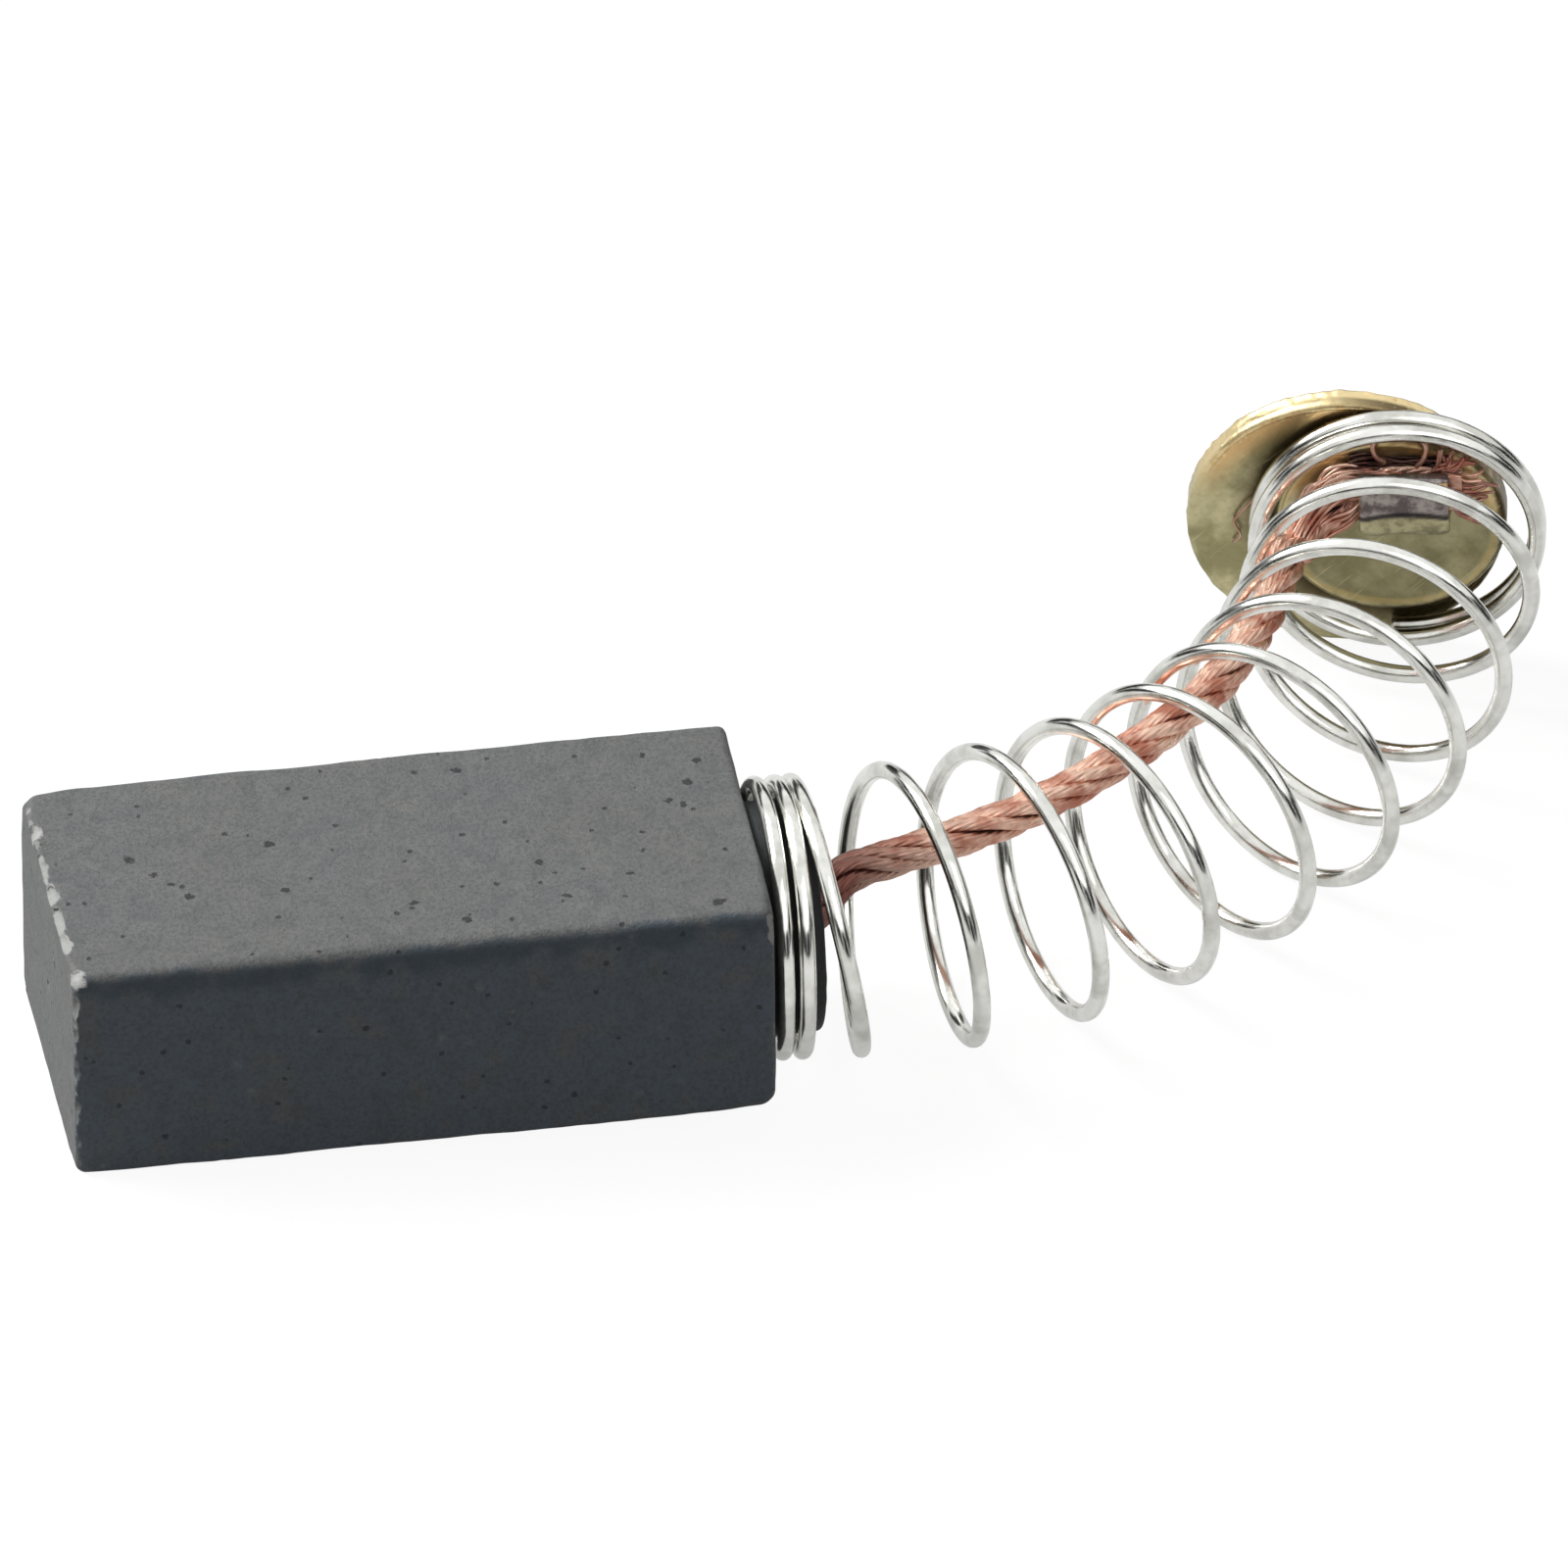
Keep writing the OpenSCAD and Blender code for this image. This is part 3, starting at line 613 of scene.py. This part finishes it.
def strand(centre_out, centre_angle, size, seed):
    """One strand of the rope: a lobed ring carried along the rope at an angle round its middle.
    The rope's own width and thickness stretch it, so that it flattens where the rope is pressed."""
    place = rows_of(rope_run, 3.7 * seed, 0)
    a = centre_angle + 2 * math.pi * rope_run / lay_length + 0.22 * grain(place, 1.1, seed)
    r = centre_out * (0.98 + 0.13 * grain(place, 0.8, seed + 20))
    size = size * (1.14 + 0.12 * grain(place, 1.6, seed + 40))[:, None]
    k = np.arange(strand_sides)
    hump = np.abs(np.cos(math.pi * (k % points_per_wire) / points_per_wire - math.pi / 2))
    lobe = size / 2 * (0.86 + 0.16 * hump)
    phi = 2 * math.pi * k / strand_sides + a[:, None] - 2 * math.pi * rope_run[:, None] / wire_lay
    across = (r * np.cos(a))[:, None] + lobe * np.cos(phi)
    through_it = (r * np.sin(a))[:, None] + lobe * np.sin(phi)
    rings = (rope_path[:, None] + (wide * across)[..., None] * rope_w[:, None]
             + (thick * through_it)[..., None] * rope_n[:, None])
    middles = (rope_path + wide * (r * np.cos(a))[:, None] * rope_w
               + thick * (r * np.sin(a))[:, None] * rope_n)
    sunk = 1 - np.hypot(across, through_it) / (1.5 * strand_d)
    return rings, middles, np.concatenate([sunk.ravel(), [1, 1]])


def gather(store, points, faces):
    """Adds a part's points and faces to a list that becomes one mesh."""
    start = sum(len(p) for p in store[0])
    store[0].append(points)
    store[1].extend([[i + start for i in face] for face in faces])


# six strands round a middle one
rope = ([], [])
drawn_all, sunk_all = [], []
for n in range(strands):
    centre_out = strand_d if n < strands - 1 else 0.0
    rings, middles, sunk = strand(centre_out, math.radians(60 * n), strand_d, n + 1)
    points, faces = closed_skin(rings, middles[0], middles[-1])
    sunk_all.append(sunk)
    gather(rope, points, faces)
    drawn_all.append(drawn_lines(middles, strand_sides, strand_d / 2, 0.05) + [0, 0, 0.01 * n])

# it is painted darker next to the block, and a little near the cap
dulled_rows = smooth(1 - (rope_run - lead_depth) / 5.5) + 0.35 * smooth(1 - (rope_run[-1] - rope_run) / 6)
dulled_all = np.tile(np.append(np.repeat(dulled_rows, strand_sides), dulled_rows[[0, -1]]), strands)

# bare copper: salmon where it faces the light, tarnished brown in patches, and darker between the
# strands and in the tongue's opening, which is painted shade
copper, tree, place = new_material("copper_bare_stranded")
drawn = add(tree, "Attribute", {"attribute_name": "drawn"}, "Vector")
depth, dulled = (add(tree, "Attribute", {"attribute_name": key}, "Fac") for key in ("sunk", "dulled"))
hairs = add(tree, "TexNoise", Vector=drawn, Scale=1000 / 0.045, Detail=2.0, Roughness=0.6)
patches = add(tree, "TexNoise", Vector=place, Scale=1000 / 0.8, Detail=3.0, Roughness=0.6)
bare = layered(tree, "#FFD6BF",
               (patches, eased, 0.38, 0.66, 1, "#C8826A"), (hairs, eased, 0.5, 0.72, 0.4, "#9A5C4E"),
               (depth, eased, 0.14, 0.46, 0.75, "#74403A"), (dulled, even, 0, 1, 0.95, "#6E443D"),
               (depth, eased, 0.5, 0.62, 0.8, "#2A1718"))
dull = add(tree, "MapRange", eased, Value=patches, i1=0.3, i2=0.7, i3=0.26, i4=0.42)
bump = add(tree, "Bump", Strength=0.35, Distance=0.00003, Height=hairs)
shader = add(tree, "BsdfPrincipled", Base_Color=bare, Metallic=0.75, Roughness=dull, Normal=bump)
add(tree, "OutputMaterial", Surface=shader)

lead = new_piece("copper_rope", np.concatenate(rope[0]), rope[1], copper, "copper_rope",
                 drawn=np.concatenate(drawn_all), sunk=np.concatenate(sunk_all), dulled=dulled_all)
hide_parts("copper_lead")

# frayed wires, in the tunnel's own axes (along it, across it, above the seat). The real ones are
# about 0.05 mm thick, and they are drawn coarser, so that they show.
hair_d, hair_sides = 0.075, 6
hairs_made = ([], [])
hair_drawn, hair_sunk = [], []


def hair(knots, dark, d=hair_d):
    """One fine wire through knots in the tunnel's axes: a round section carried along the curve."""
    path = under_tongue(through(knots, 7))
    rings = tube(path, np.broadcast_to(cap_z + 0.3 * cap_x, path.shape), round_section(d / 2, hair_sides))
    points, faces = closed_skin(rings, path[0], path[-1])
    gather(hairs_made, points, faces)
    hair_drawn.append(drawn_lines(path, hair_sides, d / 2, 0.05) + [0, 0, 0.003 * len(hair_drawn)])
    hair_sunk.append(np.full(len(points), dark))


dice = np.random.default_rng(21)


def shaken(knots, *most):
    """Shifts each knot at random by up to its own amount, or all by up to the one amount."""
    return [np.array(knot) + dice.uniform(-by, by, 3)
            for knot, by in zip(knots, np.broadcast_to(most, len(knots)))]


# the hairs in the tongue's opening are painted near black, as the shade in it
for n in range(14):  # packed across the opening that the tongue left
    u = 0.28 + 0.80 * n / 13
    hair(shaken([(t, u, 0.27) for t in (-1.02, -0.5, 0, 0.5, 1.0)], 0.02), dark=0.66, d=0.11)
for n in range(16):  # caught in the opening
    u, z = 0.06 + 0.66 * (n % 8) / 7.5, 0.56 if n < 8 else 0.40
    hair(shaken([(t, u + 0.1, z + 0.12) if abs(t) > 0.8 else (t, u, z)
                 for t in (-1.15, -0.85, -0.5, -0.1, 0.3, 0.7, 1.02)], 0.045),
         dark=0.44 if n % 4 == 0 else 0.62)
for n in range(14):  # fanned out past the tongue, low
    u = -0.45 + 0.9 * n / 13
    end_t, end_u = 1.45 + 0.45 * dice.uniform(), u * 0.8 + 0.05
    hair(shaken([(0.75, u, pressed_z), (1.05, u, pressed_z + 0.03),
                 ((1.05 + end_t) / 2, (u + end_u) / 2, pressed_z + 0.08),
                 (end_t, end_u, pressed_z + 0.02)], 0.05, 0.07, 0.10, 0.12),
         dark=0.06 if n > 10 else 0.36)
for n in range(14):  # fanned out past the tongue, upwards
    u = 0.1 + 0.45 * n / 13
    end_t, end_u = 0.75 + 0.85 * n / 13, 1.1 - 0.45 * n / 13
    hair(shaken([(0.55, u, pressed_z + 0.1), (0.75, u + 0.2, pressed_z + 0.12),
                 ((0.8 + end_t) / 2, (u + 0.2 + end_u) / 2, pressed_z + 0.10),
                 (end_t, end_u, pressed_z - 0.05)], 0.04, 0.06, 0.10, 0.10), dark=0.36)
for n in range(22):  # bulging before the tongue
    a = 2 * math.pi * n / 22
    w, h = 0.78 + 0.14 * dice.uniform(), 0.33 + 0.10 * dice.uniform()
    hair(shaken([(-2.35, -0.85 + 0.42 * math.cos(a), pressed_z + 0.95 + 0.4 * math.sin(a)),
                 (-2.0, -0.55 + 0.62 * math.cos(a), pressed_z + 0.42 + 0.40 * math.sin(a)),
                 (-1.6, -0.30 + w * math.cos(a), pressed_z + 0.17 + h * math.sin(a)),
                 (-1.2, -0.10 + 0.78 * math.cos(a), pressed_z + 0.08 + 0.28 * math.sin(a)),
                 (-0.85, 0.52 * math.cos(a), pressed_z + 0.18 * math.sin(a))],
                0.03, 0.08, 0.10, 0.06, 0.03), dark=0.14 + 0.18 * dice.uniform(), d=0.085)
for n in range(4):  # trodden flat beside the foot of the tongue
    hair(shaken([(0.85 + 0.1 * n, -0.55, 0.62), (1.15, -0.75 - 0.05 * n, 0.58),
                 (1.55, -0.85 - 0.1 * n, 0.56)], 0.06, 0.05, 0.05), dark=0.34, d=0.09)
# two curl up out of the opening, and one lies loose on the flange
hair([(-0.40, 0.70, 0.66), (-0.58, 0.90, 0.70), (-0.64, 1.14, 0.66), (-0.54, 1.30, 0.62),
      (-0.36, 1.28, 0.60)], dark=0.30, d=0.12)
hair([(0.28, 0.62, 0.72), (0.42, 0.82, 0.74), (0.50, 1.06, 0.70), (0.44, 1.26, 0.64),
      (0.28, 1.32, 0.60)], dark=0.30, d=0.12)
hair([(-3.25, -0.80, 0.10), (-3.48, -1.10, 0.14), (-3.70, -1.48, 0.10), (-3.58, -1.84, 0.14),
      (-3.75, -2.12, 0.06)], dark=0.28, d=0.055)
fray = new_piece("copper_frayed_wires", np.concatenate(hairs_made[0]), hairs_made[1], copper, "copper_rope",
                 drawn=np.concatenate(hair_drawn), sunk=np.concatenate(hair_sunk))

# ---- Brass cap ----
# Pressed from 0.45 mm brass sheet: a round flange, a shallow seat drawn up from it that stands
# inside the last turns of the spring, and a tongue cut from the seat and folded over the lead.

# brass sheet: greenish yellow and satin from the rolls, golden towards the rim, with a painted
# highlight along the upper rim and round the front of the seat, painted shade in the corner round the
# seat, and fine handling scratches
brass, tree, place = new_material("brass_sheet_pressed")
cloud = add(tree, "TexNoise", Vector=place, Scale=1000 / 1.3, Detail=4.0, Roughness=0.6)
fine = add(tree, "TexNoise", Vector=place, Scale=1000 / 0.14, Detail=3.0, Roughness=0.6)
# place on the cap in millimetres, and the distances from the middle of the flange and of the marks
# round the seat, which lie a little off its own middle
own = add(tree, "Mapping", {"vector_type": "TEXTURE"}, Vector=place,
          Location=tuple((cap_seat + bench) / 1000), Scale=(0.001,) * 3,
          Rotation=Matrix((cap_x, cap_y, cap_z)).transposed().to_euler())
flat = add(tree, "VectorMath", times, i0=own, i1=(1, 1, 0))
on_flange = add(tree, "VectorMath", plus, i0=flat, i1=(flange_shift, flange_drop, 0))
on_seat = add(tree, "VectorMath", plus, i0=flat, i1=(0.15, -0.15, 0))
from_flange, from_seat = (add(tree, "VectorMath", {"operation": "LENGTH"}, "Value", i0=off)
                          for off in (on_flange, on_seat))
height = add(tree, "SeparateXYZ", give=1, Vector=on_flange)
front_side = add(tree, "MapRange", even, i1=-0.3, i2=-0.2,
                 Value=add(tree, "SeparateXYZ", give=2, Vector=own))


def in_bands(tree, *bands):
    """How far a place lies in every band. Each has a value, where it is out and where it is in."""
    share = 1.0
    for value, far, near in bands:
        inside = add(tree, "MapRange", eased, Value=value, i1=far, i2=near)
        share = add(tree, "Math", times, i0=share, i1=inside)
    return share


ragged_edge = add(tree, "Math", times_plus, i0=fine, i1=0.6, i2=from_flange)
wavy = add(tree, "Math", times_plus, i0=cloud, i1=0.8, i2=from_seat)
golden = in_bands(tree, (height, 0.4, 2.0), (from_flange, 2.6, 3.2))
worn_rim = in_bands(tree, (height, 0.5, 2.0), (ragged_edge, 3.5, 3.7))
# a painted highlight round the front of the seat
gold_ring = in_bands(tree, (wavy, 2.52, 2.62), (wavy, 2.80, 2.66))
# painted shade in the corner round the seat, where the spring's turns stand
dirt = in_bands(tree, (wavy, 2.74, 2.90), (from_seat, 3.6, 2.8))
gold_ring, dirt = (add(tree, "Math", times, i0=share, i1=front_side) for share in (gold_ring, dirt))
slant = add(tree, "Mapping", Vector=own, Rotation=(0, 0, 0.7))
slant = add(tree, "VectorMath", times, i0=slant, i1=(1, 0.06, 1))
scratch = add(tree, "TexNoise", Vector=slant, Scale=1 / 0.08, Detail=1.0)
sheet = layered(tree, "#C3BB93",
                (cloud, eased, 0.38, 0.64, 1, "#98926C"), (fine, eased, 0.45, 0.75, 0.3, "#7F7850"),
                (golden, even, 0, 1, 0.8, "#DCB47C"), (worn_rim, even, 0, 1, 0.7, "#F2E3B2"),
                (from_seat, eased, 2.3, 2.1, 0.4, "#6F6A50"),
                (gold_ring, even, 0, 1, 0.35, "#D9B874"), (dirt, even, 0, 1, 0.85, "#3E2C18"),
                (scratch, eased, 0.66, 0.74, 0.3, "#DFD5AA"))
satin = add(tree, "MapRange", eased, Value=cloud, i1=0.3, i2=0.7, i3=0.30, i4=0.44)
bump = add(tree, "Bump", Strength=0.25, Distance=0.00004, Height=fine)
shader = add(tree, "BsdfPrincipled", Base_Color=sheet, Metallic=1.0, Roughness=satin, Normal=bump)
add(tree, "OutputMaterial", Surface=shader)
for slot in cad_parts["brass_cap"].material_slots:
    slot.material = brass

# the tongue's skin: a rounded oblong section carried up from the seat, round the bend and over the
# lead, crowned and creased by the press tool, and closing at its free end
tongue_sides, half_w, half_t, squareness = 120, 0.97, 0.215, 0.3
bend_at, bend_mid_r = (-0.525, 0.91), 0.25
bend = np.linspace(math.pi, math.pi / 2, 13)
rise, flat_u = np.array([0.40, 0.52, 0.64, 0.74, 0.83]), np.linspace(-0.48, 0.70, 24)
tongue_u = np.concatenate([0 * rise + bend_at[0] - bend_mid_r, bend_at[0] + bend_mid_r * np.cos(bend),
                           flat_u])
tongue_z = np.concatenate([rise, bend_at[1] + bend_mid_r * np.sin(bend),
                           0 * flat_u + bend_at[1] + bend_mid_r])
facing = np.concatenate([0 * rise + math.pi, bend, 0 * flat_u + math.pi / 2])
tongue_path = under_tongue(rows_of(0, tongue_u, tongue_z))
a = np.linspace(0, 2 * math.pi, tongue_sides, endpoint=False)
oblong = rows_of(*(np.sign(w) * np.abs(w) ** squareness for w in (np.cos(a), np.sin(a))))
run = lengths(tongue_path)[:, None]
spot = rows_of(run, half_w * oblong[None, :, 1], 0)
crease = 0.035 * grain(spot * [1.6, 0.7, 1], 0.5, 51) + 0.016 * grain(spot, 0.16, 52)
closing = np.array([1.0] * (len(run) - 4) + [0.97, 0.92, 0.82, 0.62])[:, None]
section = rows_of(closing * (half_t * oblong[:, 0] + crease * (oblong[:, 0] > 0)),
                  (half_w + 0.02 * grain(spot, 0.4, 53)) * oblong[:, 1])
tongue_out = np.cos(facing)[:, None] * tail_up + np.sin(facing)[:, None] * cap_z
tongue_rings = tube(tongue_path, tongue_out, section)
tongue_points, tongue_faces = closed_skin(tongue_rings, tongue_path[0], tongue_path[-1])
# a painted shadow line runs along its face, and below it its foot is as yellow as the sheet
bowed = 0.05 * spot[..., 1] ** 2 * (tongue_z > 0.9)[:, None]
low_u = tongue_u[:, None] + 0.10 * grain(spot, 0.45, 54) + bowed
crack = smooth(1.6 - np.abs(low_u + 0.22) / 0.075)
foot = 1 - smooth((low_u + 0.30) / 0.06)
shade = [np.append(v.ravel(), [v[0, 0], v[-1, 0]]) for v in (crack, foot)]

# brass bent and pressed hard: greyer and duller than the sheet, with a painted shadow line along its face
bent, tree, place = new_material("brass_bent_greyed")
crack, low = (add(tree, "Attribute", {"attribute_name": key}, "Fac") for key in ("crack", "foot"))
cloud = add(tree, "TexNoise", Vector=place, Scale=1000 / 0.45, Detail=4.0, Roughness=0.65)
worn = layered(tree, "#A69E99", (cloud, eased, 0.4, 0.62, 1, "#6A6060"))
below = layered(tree, "#B8B18C", (cloud, eased, 0.4, 0.62, 1, "#8A8466"))
worn = add(tree, "Mix", colours, 2, i0=low, i6=worn, i7=below)
share = add(tree, "Math", times, i0=crack, i1=0.9)
worn = add(tree, "Mix", colours, 2, i0=share, i6=worn, i7=linear("#2A2626"))
satin = add(tree, "MapRange", eased, Value=cloud, i1=0.3, i2=0.7, i3=0.32, i4=0.5)
bump = add(tree, "Bump", Strength=0.4, Distance=0.00005, Height=cloud)
shader = add(tree, "BsdfPrincipled", Base_Color=worn, Metallic=1.0, Roughness=satin, Normal=bump)
add(tree, "OutputMaterial", Surface=shader)
new_piece("brass_tongue_skin", tongue_points, tongue_faces, bent, "brass", crack=shade[0], foot=shade[1])

# the flange's rim is sheared: a band drawn smooth by the punch at the front, then a torn one, and a
# burr. Its section, as radius and height, goes out over the front edge, down the rim and back in
# under it. Torn: how rough each row of it is.
rim_turns = 420
rim_section = [
    (3.22, -0.010), (3.30, 0.012), (3.355, -0.002), (3.395, -0.035), (3.412, -0.08), (3.415, -0.15),
    (3.415, -0.21), (3.405, -0.26), (3.41, -0.31), (3.415, -0.36), (3.42, -0.41), (3.425, -0.45),
    (3.40, -0.475), (3.34, -0.462), (3.22, -0.44)]
round_rim = round_section(1, rim_turns)
rim = np.stack([rows_of(*(r * round_rim.T), z) for r, z in rim_section])
torn = np.array([0, 0.25, 0.6, 0.9, 0.7, 0.5, 0.7, 1.4, 1.6, 1.6, 1.6, 1.8, 1.2, 0.4, 0])[:, None]
lumps = 0.6 * grain(rim, 0.28, 31) + 0.4 * grain(rim, 0.11, 32)
rim[..., :2] += (0.022 * torn * lumps)[..., None] * round_rim
rim[..., 2] += 0.018 * torn * grain(rim, 0.2, 33)
rim += [-flange_shift, -flange_drop, 0]
rim_points = on_cap(rim).reshape(-1, 3)
rim_faces = walls(len(rim_section), rim_turns)
k = np.arange(rim_turns)
last_row = (len(rim_section) - 1) * rim_turns
rim_faces += rows_of(last_row + k, k, (k + 1) % rim_turns, last_row + (k + 1) % rim_turns).tolist()
new_piece("brass_sheared_rim", rim_points, rim_faces, brass, "brass")

# ---- Bench, light and camera ----
# A white bench under soft light from the upper left, with dark cards round it for the bright metal to
# mirror. A long lens looks down at 35 degrees.
def stage_mesh(name, corners, material):
    """A flat sheet of the studio, in metres, which isn't part of the object."""
    mesh = bpy.data.meshes.new(name)
    mesh.from_pydata(corners, [], [list(range(len(corners)))])
    mesh.materials.append(material)
    made = placed(name, mesh)
    return made


def ray_kinds(tree):
    """Whether a ray is the camera's own, and whether it comes off a mirror or through glass."""
    straight, mirror, glass = (add(tree, "LightPath", give=key) for key in
                               ("Is Camera Ray", "Is Glossy Ray", "Is Transmission Ray"))
    return straight, add(tree, "Math", larger, i0=mirror, i1=glass)


# The camera and mirrors see the bench white, and it keeps the object's shadow. To other rays it is
# grey, so that it throws little light up at the object.
paper, tree, place = new_material("bench_white")
straight, mirrored = ray_kinds(tree)
to_lamps = add(tree, "BsdfDiffuse", Color=(0.2, 0.2, 0.2, 1))
to_mirrors = add(tree, "AddShader", i0=add(tree, "BsdfDiffuse", Color=(0.4, 0.4, 0.4, 1)),
                 i1=add(tree, "Emission", Strength=0.45))
to_camera = add(tree, "AddShader", i0=add(tree, "BsdfDiffuse", Color=(0.11, 0.11, 0.11, 1)),
                i1=add(tree, "Emission", Strength=0.93))
both = add(tree, "MixShader", i0=mirrored, i1=to_lamps, i2=to_mirrors)
both = add(tree, "MixShader", i0=straight, i1=both, i2=to_camera)
add(tree, "OutputMaterial", Surface=both)
stage_mesh("bench", [(-1, -1, 0), (1, -1, 0), (1, 1, 0), (-1, 1, 0)], paper)

world = bpy.data.worlds.new("studio")
bpy.context.scene.world = world
world.use_nodes = True
tree = world.node_tree
tree.nodes.clear()
straight, mirrored = ray_kinds(tree)
seen = add(tree, "Math", larger, i0=straight, i1=mirrored)
strength = add(tree, "MapRange", i0=seen, i3=0.10, i4=1.0)
sky = add(tree, "Background", Color=(1, 1, 1, 1), Strength=strength)
add(tree, "OutputWorld", Surface=sky)


def softbox(name, at, size, power):
    """A square lamp, aimed at the middle of the object."""
    light = bpy.data.lights.new(name, "AREA")
    light.size, light.energy = size, power
    lamp = placed(name, light)
    lamp.location = at
    lamp.rotation_mode = "QUATERNION"
    lamp.rotation_quaternion = Vector(at).to_track_quat("Z", "Y")


softbox("key", (-0.24, 0.12, 0.26), 0.22, 1.75)
softbox("fill", (0.10, -0.30, 0.30), 0.30, 0.3)

# dark cards round the bench, out of view, put the dark line into the bright wire and the brass
cards, card_r, card_low, card_high = 8, 0.4, 0.01, 0.15
soot, tree, place = new_material("card_black")
add(tree, "OutputMaterial", Surface=add(tree, "BsdfDiffuse", Color=(0.05, 0.05, 0.05, 1)))
for n in range(cards):
    a, b = math.radians(360 / cards * n), math.radians(360 / cards * n + 40)
    card = stage_mesh(f"card_{n}", [
        (card_r * math.cos(g), card_r * math.sin(g), h)
        for g, h in ((a, card_low), (b, card_low), (b, card_high), (a, card_high))], soot)
    card.visible_camera = card.visible_diffuse = card.visible_shadow = False

# the camera's turn, height and roll, its distance, the width that it takes in at the object, and how
# far right of the bench's zero and above it it aims
view_turn, view_height, view_roll = math.radians(-10.1606), math.radians(34.6919), math.radians(-2.554)
view_distance, frame_w, aim_right, aim_up = 1300, 33.3713, 0.807, 5.4986
back = np.array([math.sin(view_turn) * math.cos(view_height),
                 -math.cos(view_turn) * math.cos(view_height), math.sin(view_height)])
level = np.array([math.cos(view_turn), math.sin(view_turn), 0])
steep = np.cross(back, level)
cam_right = math.cos(view_roll) * level - math.sin(view_roll) * steep
cam_up = math.sin(view_roll) * level + math.cos(view_roll) * steep
stand = (bench + aim_right * cam_right + aim_up * cam_up + view_distance * back) / 1000
lens = bpy.data.cameras.new("camera")
lens.sensor_width = 36
lens.lens = lens.sensor_width * view_distance / frame_w
lens.clip_start, lens.clip_end = 0.1, 10
camera = placed("camera", lens)
axes = np.stack([cam_right, cam_up, back], 1)
camera.matrix_world = Matrix([[*row, p] for row, p in zip(axes, stand)] + [[0, 0, 0, 1]])
bpy.context.scene.camera = camera
bpy.context.scene.view_settings.view_transform = "Standard"
